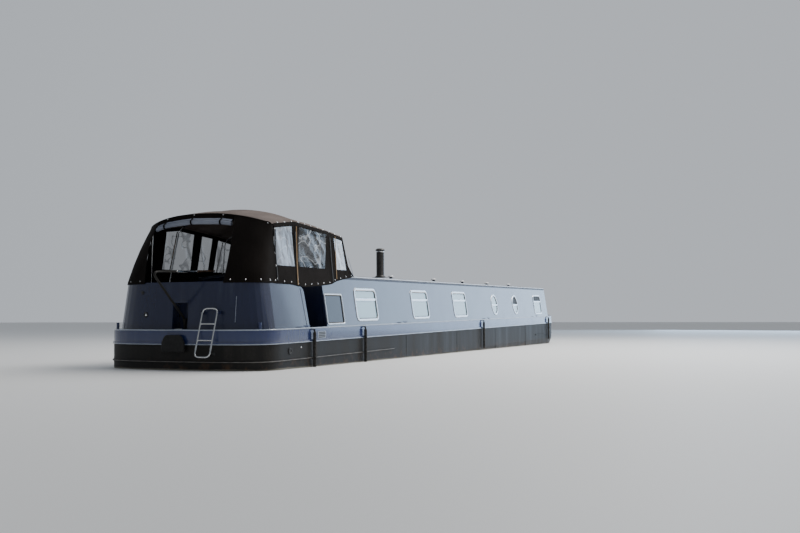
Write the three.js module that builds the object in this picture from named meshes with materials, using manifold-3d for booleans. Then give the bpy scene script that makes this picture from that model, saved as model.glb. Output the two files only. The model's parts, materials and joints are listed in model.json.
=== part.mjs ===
// A wide-beam canal boat of narrowboat build, afloat: a flat-bottomed steel hull
// with a rounded counter stern, a swim, a propeller and a rudder under it, a long
// cabin with leaning sides, a high stern bulwark and a canvas hood on hoops.
// Millimetres, +X to the bow, +Y to port, +Z up. Stations are counted from a
// point near the first big window; the last lines move the boat so that the
// origin is at the middle of its length, on the underside of the baseplate.

import * as THREE from 'three';
import { mergeVertices } from 'three/addons/utils/BufferGeometryUtils.js';
import Module from 'manifold-3d';

const wasm = await Module();
wasm.setup();

// Driving dimensions
const midship = 6487.97;         // station of the middle of the whole length
const beam = 3160;               // over the hull plating
const halfBeam = beam / 2;
const gap = 0.3;                 // between pieces that touch
const counterZ = 590;            // underside of the counter
const guardZ = 1091;             // black below it, blue band above it
const gunwaleZ = 1320;           // top of the side decks
const sternStart = -3200;        // where the round stern leaves the straight side
const sternDepth = 690;
const sternPower = 3;
const bowStart = 14900;
const bowPower = 2.4;
const stemAtCounter = 16950;
const stemRake = 0.3;            // station gained for each millimetre of height
const sheer = 270;               // rise of the gunwale at the stem
const sheerStart = 15300;
const strakeHeight = 30;
const railDepth = 16;
const sternStrakeZ = 792;
const bowStrakeZ = 733;
const bandWidth = 185;           // side deck with the wall under it
const gunwaleWidth = 119;        // outside the cabin and the bulwark
const lean = 0.148;              // of the cabin sides and the bulwark
const wall = 60;                 // a cabin wall, steel with its lining
const bite = 10;                 // how far a joined or cutting solid runs past the face it meets
const beyond = 3000;             // past the boat's sides, for solids that only cut

// Swim and baseplate
const sternPost = -3000;
const swimEnd = 600;
const baseHalf = 1500;
const baseBowStart = 14300;
const baseStem = 16300;
const swimPower = 1.6;           // how full the swim's waterlines are
const swimSteps = 9;
const postHalf = 15;             // half thickness of the stern post and the stem
const floorZ = 150;
const wellZ = 850;

// Cabin
const cabinAft = -1340;
const cabinFore = 15190;
const eavesZ = 2250;
const camber = 100;
const roofThick = 50;

// Stern
const deckZ = 1260;
const deckThick = 60;
const bulwarkTop = 2100;
const bulwarkThick = 50;
const stockX = -3620;
const stockR = 25;
const footR = 20;
const turning = 1;               // between a turning rod and its bearing
const stockTube = { low: 500, high: 1200, top: 1400 };
const pocket = { half: 150, fore: -3540, top: 1760, wall: 40, sill: 12 };
const wellEnd = 16100;

const paint = {
  navy: { color: 0x1b2546, roughness: 0.3, metalness: 0.1 },
  band: { color: 0x24345f, roughness: 0.3, metalness: 0.1 },
  black: { color: 0x1c1b1a, roughness: 0.55, metalness: 0.1 },
  roof: { color: 0x2a3352, roughness: 0.45, metalness: 0.1 },
  deck: { color: 0x4a4d52, roughness: 0.8, metalness: 0.0 },
  glass: { color: 0x8fa3b5, roughness: 0.08, metalness: 0.1 },
  steel: { color: 0xc3c5c7, roughness: 0.25, metalness: 1.0 },
  canvas: { color: 0x2a2523, roughness: 0.9, metalness: 0.0 },
  rope: { color: 0x1d1c1b, roughness: 0.95, metalness: 0.0 },
  bronze: { color: 0x8a6b3c, roughness: 0.4, metalness: 1.0 },
  iron: { color: 0x3c4a44, roughness: 0.6, metalness: 0.4 },
};

// Solids: geometry in, manifold out, and back again
const solids = {
  from(geometry) {
    const bare = geometry.clone();
    bare.deleteAttribute('normal');
    bare.deleteAttribute('uv');
    const merged = mergeVertices(bare, 1e-4);
    const solid = new wasm.Manifold(new wasm.Mesh({
      numProp: 3,
      vertProperties: new Float32Array(merged.attributes.position.array),
      triVerts: new Uint32Array(merged.index.array),
    }));
    if (solid.volume() <= 0) throw new Error('a solid is inside out');
    return solid;
  },
  geometry(solid) {
    const mesh = solid.getMesh();
    const made = new THREE.BufferGeometry();
    made.setAttribute('position', new THREE.BufferAttribute(new Float32Array(mesh.vertProperties), 3));
    made.setIndex(new THREE.BufferAttribute(new Uint32Array(mesh.triVerts), 1));
    return made;
  },
};
const join = (...parts) => parts.reduce((whole, piece) => whole.add(piece));
const cut = (whole, ...tools) => tools.reduce((left, tool) => left.subtract(tool), whole);

// An indexed geometry whose faces point out
function closed(points, faces) {
  let volume = 0;
  for (const [a, b, c] of faces) volume += points[a].dot(points[b].clone().cross(points[c]));
  const index = volume < 0 ? faces.map(([a, b, c]) => [a, c, b]) : faces;
  const made = new THREE.BufferGeometry();
  made.setAttribute('position', new THREE.Float32BufferAttribute(points.flatMap((p) => [p.x, p.y, p.z]), 3));
  made.setIndex(index.flat());
  return made;
}

// Strips from starboard to port that close a ring whose halves mirror each other
function capFaces(ring) {
  const count = ring.length;
  const shared = Math.abs(ring[0].y) < 1e-6 ? 0 : 1;
  const partner = (i) => (count - shared - i) % count;
  const faces = [];
  for (let i = 0; i + 1 < (count + 2 - shared) / 2; i++) {
    const strip = [i, i + 1, partner(i + 1), partner(i)];
    if (strip[1] !== strip[2]) faces.push([strip[0], strip[1], strip[2]]);
    if (strip[0] !== strip[3] && strip[2] !== strip[3]) faces.push([strip[0], strip[2], strip[3]]);
  }
  return faces;
}

// Skin between rings of equal count; the first and last ring are closed by caps
function loft(rings) {
  const count = rings[0].length;
  const points = rings.flat();
  const faces = [];
  for (let r = 0; r + 1 < rings.length; r++) {
    for (let i = 0; i < count; i++) {
      const a = r * count + i;
      const b = r * count + (i + 1) % count;
      faces.push([a, b, b + count], [a, b + count, a + count]);
    }
  }
  const last = (rings.length - 1) * count;
  for (const [a, b, c] of capFaces(rings[0])) {
    faces.push([a, c, b], [last + a, last + b, last + c]);
  }
  return closed(points, faces);
}

// A bar of constant corner count run through a list of sections, ends closed
function bar(sections) {
  const count = sections[0].length;
  const points = sections.flat();
  const faces = [];
  for (let s = 0; s + 1 < sections.length; s++) {
    for (let i = 0; i < count; i++) {
      const near = [s * count + i, s * count + (i + 1) % count];
      const far = near.map((corner) => corner + count);
      faces.push([near[0], near[1], far[1]], [near[0], far[1], far[0]]);
    }
  }
  const last = (sections.length - 1) * count;
  for (let i = 1; i + 1 < count; i++) {
    faces.push([0, i + 1, i], [last, last + i, last + i + 1]);
  }
  return closed(points, faces);
}

const box = (x0, x1, y0, y1, z0, z1) => {
  const made = new THREE.BoxGeometry(x1 - x0, y1 - y0, z1 - z0);
  made.translate((x0 + x1) / 2, (y0 + y1) / 2, (z0 + z1) / 2);
  return solids.from(made);
};
const slab = (x0, x1, y0, y1, z0, z1) => (
  box(Math.min(x0, x1), Math.max(x0, x1), Math.min(y0, y1), Math.max(y0, y1), z0, z1)
);
const rod = (from, to, radius, sides = 12, radiusTo = radius) => {
  const made = new THREE.CylinderGeometry(radiusTo, radius, from.distanceTo(to), sides);
  const along = to.clone().sub(from);
  const turn = new THREE.Quaternion().setFromUnitVectors(new THREE.Vector3(0, 1, 0), along.normalize());
  made.applyQuaternion(turn);
  const middle = from.clone().add(to).multiplyScalar(0.5);
  made.translate(middle.x, middle.y, middle.z);
  return solids.from(made);
};
const at = (x, y, z) => new THREE.Vector3(x, y, z);

// A round tube along points joined by straight lines with rounded corners
function tube(points, radius, corner, sides = 6) {
  const path = new THREE.CurvePath();
  let from = points[0];
  for (let i = 1; i + 1 < points.length; i++) {
    const p = points[i];
    const a = p.clone().add(points[i - 1].clone().sub(p).setLength(corner));
    const b = p.clone().add(points[i + 1].clone().sub(p).setLength(corner));
    path.add(new THREE.LineCurve3(from, a));
    path.add(new THREE.QuadraticBezierCurve3(a, p, b));
    from = b;
  }
  path.add(new THREE.LineCurve3(from, points[points.length - 1]));
  const line = [];
  for (const piece of path.curves) {
    const steps = piece.isLineCurve3 ? 1 : 3;
    for (let k = line.length ? 1 : 0; k <= steps; k++) line.push(piece.getPoint(k / steps));
  }
  let normal = null;
  const sections = line.map((p, i) => {
    const before = line[Math.max(i - 1, 0)];
    const after = line[Math.min(i + 1, line.length - 1)];
    const along = after.clone().sub(before).normalize();
    if (!normal) normal = Math.abs(along.z) < 0.9 ? at(0, 0, 1) : at(1, 0, 0);
    normal = normal.clone().sub(along.clone().multiplyScalar(normal.dot(along))).normalize();
    const side = along.clone().cross(normal);
    return Array.from({ length: sides }, (_, k) => {
      const a = (k / sides) * Math.PI * 2;
      const out = normal.clone().multiplyScalar(Math.cos(a)).addScaledVector(side, Math.sin(a));
      return p.clone().addScaledVector(out, radius);
    });
  });
  return solids.from(bar(sections));
}

// Plan of the hull above the counter, starboard half from stern to stem.
// off moves the line out (or in, when negative); height sets where the stem is.
const stemAt = (height) => stemAtCounter + stemRake * (height - counterZ);
const sternPoints = (off, steps = 9, offAft = off) => Array.from({ length: steps + 1 }, (_, i) => {
  const a = (i / steps) * Math.PI / 2;
  const across = Math.sin(a) ** (2 / sternPower);
  const aft = Math.cos(a) ** (2 / sternPower);
  return [sternStart - (sternDepth + offAft) * aft, -(halfBeam + off) * across];
});
const bowShares = [0, 0.15, 0.3, 0.45, 0.58, 0.7, 0.8, 0.89, 0.96, 1];
const bowPoint = (share, off, height) => [
  bowStart + (stemAt(height) + off - bowStart) * share,
  -Math.max((halfBeam + off) * (1 - share ** bowPower), 0),
];
const sheerAt = (x) => sheer * Math.max(0, (x - sheerStart) / (stemAt(gunwaleZ) - sheerStart)) ** 2;

// Full ring, anticlockwise from the stern centre along starboard and back by port
function hullRing(off, heightOf) {
  const half = [...sternPoints(off).map(([x, y]) => [x, y, null]), ...bowShares.map((s) => [null, s, s])];
  const starboard = half.map(([x, y, share]) => {
    if (share === null) return at(x, y, heightOf(x));
    let height = heightOf(bowStart);
    let point = bowPoint(share, off, height);
    for (let k = 0; k < 3; k++) {
      height = heightOf(point[0]);
      point = bowPoint(share, off, height);
    }
    return at(point[0], point[1], height);
  });
  const port = starboard.slice(1, -1).reverse().map((p) => at(p.x, -p.y, p.z));
  return [...starboard, ...port];
}
const level = (z) => () => z;
const gunwaleAt = (x) => gunwaleZ + sheerAt(x);

// Underwater body: a swim aft, straight sides, a pointed bow
const swimHalf = (x, half) => half * (1 - (1 - (x - sternPost) / (swimEnd - sternPost)) ** swimPower);
function swimRing(half, bowFrom, stem, z) {
  const starboard = [];
  for (let i = 0; i <= swimSteps; i++) {
    const x = sternPost + (swimEnd - sternPost) * (i / swimSteps);
    starboard.push(at(x, -Math.max(swimHalf(x, half), postHalf), z));
  }
  for (const share of bowShares) {
    const y = Math.max(half * (1 - share ** bowPower), postHalf);
    starboard.push(at(bowFrom + (stem - bowFrom) * share, -y, z));
  }
  return [...starboard, ...starboard.slice().reverse().map((p) => at(p.x, -p.y, p.z))];
}

// Rooms inside the hull, open at the top. The cabin's own floor stands over the
// swim, the well is where one steps down at the bow, and the bay holds the engine.
const roomTop = 1300;
const cabinRoom = { aft: -1280, fore: 14200, half: 1430, sideOff: 150 };
const swimFloor = 650;           // above it a room may be as wide as the hull
const bay = { aft: -3250, fore: -1400, half: 1330, sumpAft: -2500, sumpZ: 350, sideOff: 110 };
const shaft = { z: 330, radius: 18, bossRadius: 60, bossAft: -3030, bossFore: -2600, fore: -2900 };
const bilgeLap = 2;              // the underwater body runs this far into the one above it
function swimRoom(from, to, low, off) {
  return solids.from(loft([low, roomTop].map((z) => {
    const side = [0, 1, 2, 3].map((i) => {
      const x = from + (to - from) * (i / 3);
      return at(x, -(swimHalf(Math.min(x, swimEnd), halfBeam) - off), z);
    });
    return [...side, ...side.slice().reverse().map((p) => at(p.x, -p.y, p.z))];
  })));
}
const stockBore = (low, high) => rod(at(stockX, 0, low), at(stockX, 0, high), stockR + turning, 16);
function makeHull() {
  const lower = solids.from(loft([
    swimRing(baseHalf, baseBowStart, baseStem, 0),
    swimRing(halfBeam, bowStart, stemAtCounter, counterZ),
  ]));
  const strakes = [bowStrakeZ, sternStrakeZ].flatMap((z) => [z, z + strakeHeight]);
  const heights = [counterZ - bilgeLap, ...strakes, guardZ];
  const upper = solids.from(loft(heights.map((z) => hullRing(0, level(z)))));
  const boss = rod(at(shaft.bossAft, 0, shaft.z), at(shaft.bossFore, 0, shaft.z), shaft.bossRadius);
  const rooms = [
    box(swimEnd, cabinRoom.fore, -cabinRoom.half, cabinRoom.half, floorZ, roomTop),
    box(cabinRoom.aft, swimEnd + bilgeLap, -cabinRoom.half, cabinRoom.half, swimFloor, roomTop),
    swimRoom(cabinRoom.aft, swimEnd + bilgeLap, floorZ, cabinRoom.sideOff),
    box(bay.aft, bay.fore, -bay.half, bay.half, swimFloor, roomTop),
    swimRoom(bay.sumpAft, bay.fore, bay.sumpZ, bay.sideOff),
    solids.from(loft([hullRing(-bandWidth, level(wellZ)), hullRing(-bandWidth, level(roomTop))]))
      .intersect(box(cabinRoom.fore - bite, wellEnd, -halfBeam, halfBeam, wellZ - bite, roomTop + bite)),
  ];
  const stockHole = stockBore(stockTube.low, stockTube.high);
  const shaftHole = rod(
    at(shaft.bossAft - bite, 0, shaft.z), at(shaft.fore, 0, shaft.z), shaft.radius + turning, 16,
  );
  return cut(join(lower, upper, boss), ...rooms, stockHole, shaftHole);
}

// Blue band: side decks and the walls under them, with bollards and cleats on top
const cornerPost = { aft: 0.6, off: -60, radius: 25, height: 115 };
const cleatStations = [-2250, 2200, 8200, 13400];
const cleat = { inboard: 50, legs: 30, half: 110, bar: 10, height: 32, root: 20 };
function makeCleat(x, y) {
  const z = gunwaleZ + cleat.height;
  const root = gunwaleZ - cleat.root;
  const legs = [x - cleat.legs, x + cleat.legs].map((legX) => (
    rod(at(legX, y, root), at(legX, y, z - 2), cleat.bar, 6)
  ));
  return join(rod(at(x - cleat.half, y, z), at(x + cleat.half, y, z), cleat.bar, 6), ...legs);
}
function makeBand() {
  const heights = [level(guardZ + gap), level(guardZ + strakeHeight), gunwaleAt];
  const cutHeights = [level(guardZ - bite), ...heights, (x) => gunwaleAt(x) + bite];
  const outer = solids.from(loft(heights.map((height) => hullRing(0, height))));
  const inner = solids.from(loft(cutHeights.map((height) => hullRing(-bandWidth, height))));
  let ring = outer.subtract(inner);
  const postX = sternStart - cornerPost.aft * (sternDepth + cornerPost.off);
  const postY = (halfBeam + cornerPost.off) * (1 - cornerPost.aft ** sternPower) ** (1 / sternPower);
  const root = gunwaleZ - cleat.root;
  for (const hand of [-1, 1]) {
    const y = hand * postY;
    ring = ring.add(rod(at(postX, y, root), at(postX, y, gunwaleZ + cornerPost.height), cornerPost.radius));
    for (const x of cleatStations) ring = ring.add(makeCleat(x, hand * (halfBeam - cleat.inboard)));
  }
  return ring;
}

// Rubbing rails. Each is a bar round part of the plan, outside the plating.
const strakeEnds = { stern: 1492, bow: 12998 };
const aftOfAll = sternStart - beyond;
const foreOfAll = stemAtCounter + beyond;
function makeRail(z, from, to) {
  const top = z + strakeHeight;
  const cutHeights = [z - bite, z, top, top + bite];
  const inner = solids.from(loft(cutHeights.map((height) => hullRing(gap, level(height)))));
  const outer = solids.from(loft([z, top].map((height) => hullRing(railDepth, level(height)))));
  return outer.subtract(inner).intersect(box(from, to, -beyond, beyond, z - bite, top + bite));
}

// Skeg: a flat bar that carries the foot of the rudder
const skeg = { aft: -3700, half: 35, thick: 40, cupRadius: 45, cupLow: 20, cupTop: 75, hole: 15 };
function makeSkeg() {
  const { aft, half, thick, cupRadius, cupLow, cupTop, hole } = skeg;
  const flat = box(aft, sternPost - gap, -half, half, 0, thick);
  const cup = rod(at(stockX, 0, cupLow), at(stockX, 0, cupTop), cupRadius, 16);
  return cut(join(flat, cup), rod(at(stockX, 0, hole), at(stockX, 0, cupTop + bite), footR + turning, 16));
}
const rudder = { behind: 255, ahead: 220, half: 12, low: 110, top: 560, foot: 24 };
function makeRudder() {
  const { behind, ahead, half, low, top } = rudder;
  const blade = box(stockX - behind, stockX + ahead, -half, half, low, top);
  const stock = rod(at(stockX, 0, low - bite), at(stockX, 0, tiller.clampZ), stockR, 16);
  const foot = rod(at(stockX, 0, rudder.foot), at(stockX, 0, low + bite), footR, 16);
  return join(blade, stock, foot);
}
// Tiller: a neck that leans aft out of its pocket, then a bar forward over the deck
const tiller = {
  clampZ: 1440, clampR: 36, clampHeight: 60, sunk: 20, radius: 19, bend: 28,
  necks: [[-4428, 2188], [-4408, 2246]], tip: [-2750, 2313],
};
function makeTiller() {
  const { clampZ, clampR, clampHeight, sunk, necks, tip } = tiller;
  const clamp = rod(at(stockX, 0, clampZ + gap), at(stockX, 0, clampZ + clampHeight), clampR, 16);
  const line = [[stockX, clampZ + clampHeight - sunk], ...necks, tip].map(([x, z]) => at(x, 0, z));
  return join(clamp, tube(line, tiller.radius, tiller.bend, 10));
}
const screw = { x: -3105, blades: 4, twist: 0.8, shaftFore: -2920 };
// distance from the axis, half chord, blade angle, half thickness
const bladeRows = [
  [30, 40, 0.75, 10], [90, 75, 0.62, 9], [150, 92, 0.5, 8], [200, 78, 0.42, 6], [232, 34, 0.38, 4],
];
function bladeSection([out, halfChord, angle, halfThick]) {
  const c = Math.cos(angle);
  const s = Math.sin(angle) * screw.twist;
  return [[-1, 0], [-0.5, -1], [0.5, -1], [1, 0], [0.5, 1], [-0.5, 1]].map(([u, v]) => (
    at(u * halfChord * s + v * halfThick * c, u * halfChord * c - v * halfThick * s, out)
  ));
}
function makePropeller() {
  const profile = [[0, -70], [26, -66], [44, -30], [46, 45], [38, 62], [0, 62]]
    .map(([r, h]) => new THREE.Vector2(r, h));
  const hub = new THREE.LatheGeometry(profile, 16);
  hub.rotateZ(-Math.PI / 2);
  hub.translate(screw.x, 0, shaft.z);
  const driveShaft = rod(at(screw.x, 0, shaft.z), at(screw.shaftFore, 0, shaft.z), shaft.radius, 16);
  let whole = solids.from(hub).add(driveShaft);
  for (let k = 0; k < screw.blades; k++) {
    const blade = bar(bladeRows.map(bladeSection));
    blade.rotateX((k / screw.blades) * Math.PI * 2 + Math.PI / 4);
    blade.translate(screw.x, 0, shaft.z);
    whole = whole.add(solids.from(blade));
  }
  return whole;
}

// Stern deck, inside the band, with the engine's hatch lid
const deckHatch = { aft: -2720, fore: -1900, half: 430, rise: 6 };
function makeSternDeck() {
  const low = deckZ - deckThick;
  const aftEnd = sternStart - sternDepth - bite;
  const plate = solids.from(loft([low, deckZ].map((z) => hullRing(-bandWidth - gap, level(z)))))
    .intersect(box(aftEnd, cabinRoom.aft, -halfBeam, halfBeam, low - bite, deckZ + bite));
  const { aft, fore, half, rise } = deckHatch;
  return cut(plate, stockBore(low - bite, deckZ + bite))
    .add(box(aft, fore, -half, half, deckZ - bite, deckZ + rise));
}
const stud = { x: 16700, top: 1640, radius: 30, armZ: 1600, armHalf: 110, armRadius: 22 };
function makeForedeck() {
  const heights = [level(guardZ + gap), level(guardZ + strakeHeight), gunwaleAt];
  const { x, top, radius, armZ, armHalf, armRadius } = stud;
  return solids.from(loft(heights.map((height) => hullRing(-bandWidth - gap, height))))
    .intersect(box(wellEnd, wellEnd + beyond, -halfBeam, halfBeam, guardZ - bite, gunwaleZ + sheer + bite))
    .add(rod(at(x, 0, gunwaleZ), at(x, 0, top), radius))
    .add(rod(at(x, -armHalf, armZ), at(x, armHalf, armZ), armRadius, 10));
}

// Bulwark round the stern: a wall that leans in, with rounded forward ends
const leanAt = (z) => lean * (z - gunwaleZ);
const bulwarkForeLow = -2014;
const bulwarkForeHigh = -2074;
const bulwarkRound = 260;        // length of the rounded forward corner
const sternLean = 0.5;           // share of the side's lean that the stern's end has
const sternSteps = 10;
const bulwarkSag = { from: -2450, drop: 40, cornerDrop: 120 };
const bulwarkStations = [-2800, -2450, -2334, -2260, -2190, -2130, -2090, bulwarkForeHigh];
const bulwarkTopAt = (x) => {
  const ease = Math.max(0, (x - bulwarkSag.from) / (bulwarkForeHigh - bulwarkSag.from));
  const corner = Math.max(0, (x - (bulwarkForeHigh - bulwarkRound)) / bulwarkRound);
  const fall = 1 - Math.sqrt(Math.max(0, 1 - Math.min(corner, 1) ** 2));
  return bulwarkTop - bulwarkSag.drop * ease - bulwarkSag.cornerDrop * fall;
};
function makeBulwark() {
  const stations = sternPoints(-gunwaleWidth, sternSteps).map(([x], i) => ({ stern: i, x }));
  for (const x of bulwarkStations) stations.push({ x });
  const wallPoint = (station, z, inset) => {
    const off = -gunwaleWidth - leanAt(z) - inset;
    if (station.stern !== undefined) {
      const offAft = -gunwaleWidth - sternLean * leanAt(z) - inset;
      const [x, y] = sternPoints(off, sternSteps, offAft)[station.stern];
      return at(x, y, z);
    }
    const share = (z - gunwaleZ) / (bulwarkTop - gunwaleZ);
    const forward = (station.x - bulwarkStations[0]) / (bulwarkForeHigh - bulwarkStations[0]);
    const push = (bulwarkForeLow - bulwarkForeHigh) * (1 - share) * forward;
    return at(station.x + push, -(halfBeam + off), z);
  };
  const starboard = stations.map((station) => {
    const top = bulwarkTopAt(station.x);
    return [
      wallPoint(station, gunwaleZ + gap, 0), wallPoint(station, top, 0),
      wallPoint(station, top, bulwarkThick), wallPoint(station, gunwaleZ + gap, bulwarkThick),
    ];
  });
  const port = starboard.slice(1).map((s) => s.map((p) => at(p.x, -p.y, p.z)));
  const shell = solids.from(bar([...starboard.slice().reverse(), ...port]));
  const { half, fore, top, wall: side, sill } = pocket;
  const face = sternStart - sternDepth + gunwaleWidth;
  const casing = box(face + 3 * bite, fore + side, -half - side, half + side, gunwaleZ + gap, top + side);
  const footAft = sternStart - sternDepth + bandWidth + bite;
  const foot = box(footAft, fore + side, -half - side, half + side, deckZ + gap, gunwaleZ + sill);
  const hollow = box(face - 10 * bite, fore, -half, half, gunwaleZ + sill, top);
  let whole = cut(join(shell, casing, foot), hollow, stockBore(stockTube.high, stockTube.top));
  const { pivotX, pivotZ, lug } = ladder;
  for (const hand of [-1, 1]) {
    const y = ladder.y + hand * (ladder.half + ladder.lugOff);
    whole = whole.add(box(
      pivotX - lug.aft, face + lug.root, y - lug.thick / 2, y + lug.thick / 2,
      pivotZ - lug.half, pivotZ + lug.half,
    ));
  }
  return whole;
}

// Boarding ladder: it swings up on two lugs of the bulwark
const ladder = {
  y: -620, half: 140, pivotX: -3822, pivotZ: 1597, top: 1663, foot: 894, footX: -4045, rungs: [1418, 1157],
  tube: 13, bend: 90, pin: 9, lugOff: 24, lug: { aft: 12, root: 80, thick: 12, half: 25 },
};
function makeLadder() {
  const { y, half, pivotX, pivotZ, top, foot, footX, tube: radius } = ladder;
  const slope = (footX - pivotX) / (foot - pivotZ);
  const spot = (z, across) => at(pivotX + slope * (z - pivotZ), y + across, z);
  const middle = (top + foot) / 2;
  const loop = (end) => tube(
    [spot(middle, -half), spot(end, -half), spot(end, half), spot(middle, half)], radius, ladder.bend, 8,
  );
  let whole = join(loop(top), loop(foot));
  for (const z of ladder.rungs) whole = whole.add(rod(spot(z, -half), spot(z, half), radius, 8));
  for (const hand of [-1, 1]) {
    const end = half + ladder.lugOff - ladder.lug.thick / 2 - gap;
    whole = whole.add(rod(spot(pivotZ, hand * half), spot(pivotZ, hand * end), ladder.pin, 8));
  }
  return whole;
}

// Cabin walls. In a wall's own plane: station, height and depth in from its face.
const cabinFaceY = halfBeam - gunwaleWidth;
function onWall(geometry, hand) {
  const made = geometry.clone();
  const p = made.attributes.position;
  for (let i = 0; i < p.count; i++) {
    const z = p.getY(i);
    p.setXYZ(i, p.getX(i), hand * (cabinFaceY - leanAt(z) - p.getZ(i)), z);
  }
  if (hand > 0) return made;
  const index = made.index.array;
  for (let i = 0; i < index.length; i += 3) [index[i + 1], index[i + 2]] = [index[i + 2], index[i + 1]];
  return made;
}

function roundedOutline({ x, z, width, height, corner }, grow) {
  const w = width / 2 + grow;
  const h = height / 2 + grow;
  const r = Math.max(Math.min(corner + grow, w, h), 1);
  const shape = new THREE.Shape();
  shape.moveTo(x - w + r, z - h);
  shape.lineTo(x + w - r, z - h);
  shape.absarc(x + w - r, z - h + r, r, -Math.PI / 2, 0);
  shape.lineTo(x + w, z + h - r);
  shape.absarc(x + w - r, z + h - r, r, 0, Math.PI / 2);
  shape.lineTo(x - w + r, z + h);
  shape.absarc(x - w + r, z + h - r, r, Math.PI / 2, Math.PI);
  shape.lineTo(x - w, z - h + r);
  shape.absarc(x - w + r, z - h + r, r, Math.PI, Math.PI * 1.5);
  return shape;
}
// A flat prism in a wall's own plane, between two depths
function panel(opening, grow, from, to, steps = 3) {
  const made = new THREE.ExtrudeGeometry(roundedOutline(opening, grow), {
    depth: to - from, bevelEnabled: false, curveSegments: steps,
  });
  made.translate(0, 0, from);
  return solids.from(made);
}

// name, station of its middle, sill above the gunwale, width, height, corner radius
const windows = [
  ['window_1', -960, 46, 700, 544, 30],
  ['window_2', 465, 103, 980, 590, 90],
  ['window_3', 3385, 103, 980, 590, 90],
  ['window_4', 6149, 103, 980, 590, 90],
  ['porthole_1', 9156, 126, 528, 528, 264],
  ['porthole_2', 11295, 126, 528, 528, 264],
  ['window_5', 13990, 103, 880, 575, 90],
].map(([name, x, sill, width, height, corner]) => (
  { name, x, z: gunwaleZ + sill + height / 2, width, height, corner, steps: corner > 200 ? 6 : 3 }
));

function makeCabinSide(hand) {
  const plate = new THREE.Shape([
    [cabinAft, gunwaleZ + gap], [cabinFore, gunwaleZ + gap],
    [cabinFore, eavesZ - roofThick - gap], [cabinAft, eavesZ - roofThick - gap],
  ].map(([x, z]) => new THREE.Vector2(x, z)));
  let side = solids.from(new THREE.ExtrudeGeometry(plate, { depth: wall, bevelEnabled: false }));
  for (const w of windows) side = side.subtract(panel(w, 0, -bite, wall + bite, w.steps));
  return solids.from(onWall(solids.geometry(side), hand));
}
// how far its flange laps the wall and stands proud of it, the play and depth of its
// sleeve, the width of its frame inside the cut, and the pane's edge and two faces
const frame = { lap: 30, proud: 12, play: 1.5, depth: 50, width: 26, rebate: 20, paneOut: 18, paneIn: 26 };
function makeWindow(w, hand) {
  const flange = panel(w, frame.lap, -frame.proud, -gap, w.steps);
  const sleeve = panel(w, -frame.play, -frame.proud, frame.depth, w.steps);
  const through = panel(w, -frame.width, -frame.proud - bite, frame.depth + bite, w.steps);
  const pane = panel(w, -frame.rebate, frame.paneOut, frame.paneIn, w.steps);
  return solids.from(onWall(solids.geometry(join(cut(join(flange, sleeve), through), pane)), hand));
}

// Roof: a cambered plate with an opening and rails for the sliding hatch
const eaveGap = 1;               // so that the roof's lower edge stays inside the walls' lean
const roofHalfAt = (z) => cabinFaceY - leanAt(z);
const crownAt = (y) => camber * (1 - (y / roofHalfAt(eavesZ)) ** 2);
const hatch = { aft: cabinAft - 4, length: 600, half: 400, opening: 350, openFore: -790, railFore: -150 };
const hatchRail = { inboard: 8, half: 10, sunk: 20, rise: 14 };
// distance from the middle, stations
const ventRows = [
  [-680, [927, 3400, 6200, 8470, 10740, 13100]], [680, [1600, 4600, 7300, 9600, 12000, 13900]],
];
const arch = (half, lift, steps = 10) => Array.from({ length: steps + 1 }, (_, i) => {
  const y = -half + (2 * half * i) / steps;
  return [y, eavesZ + crownAt(y) + lift];
});
function profileAlong(outline, x0, x1) {
  const shape = new THREE.Shape(outline.map(([y, z]) => new THREE.Vector2(y, z)));
  const made = new THREE.ExtrudeGeometry(shape, { depth: x1 - x0, bevelEnabled: false });
  made.applyMatrix4(new THREE.Matrix4().makeBasis(at(0, 1, 0), at(0, 0, 1), at(1, 0, 0)));
  made.translate(x0, 0, 0);
  return solids.from(made);
}
function makeRoof() {
  const upper = arch(roofHalfAt(eavesZ), 0);
  const lowHalf = roofHalfAt(eavesZ - roofThick) - eaveGap;
  const lower = arch(lowHalf, 0).map(([y]) => [y, eavesZ - roofThick + camber * (1 - (y / lowHalf) ** 2)]);
  const plate = profileAlong([...lower, ...upper.slice().reverse()], cabinAft, cabinFore);
  const { opening, openFore, railFore } = hatch;
  const highest = eavesZ + camber + bite;
  let roof = plate.subtract(box(cabinAft - bite, openFore, -opening, opening, guardZ, highest));
  const { inboard, half, sunk, rise } = hatchRail;
  for (const hand of [-1, 1]) {
    const y = hand * (hatch.half - inboard);
    const z = eavesZ + crownAt(hatch.half);
    roof = roof.add(box(cabinAft, railFore, y - half, y + half, z - sunk, z + rise));
  }
  const cap = [[0, -20], [38, -20], [38, 28], [70, 32], [72, 40], [52, 62], [0, 72]]
    .map(([r, h]) => new THREE.Vector2(r, h));
  for (const [y, stations] of ventRows) {
    for (const x of stations) {
      const dome = new THREE.LatheGeometry(cap, 8);
      dome.rotateX(Math.PI / 2);
      dome.translate(x, y, eavesZ + crownAt(y));
      roof = roof.add(solids.from(dome));
    }
  }
  return roof;
}
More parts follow.
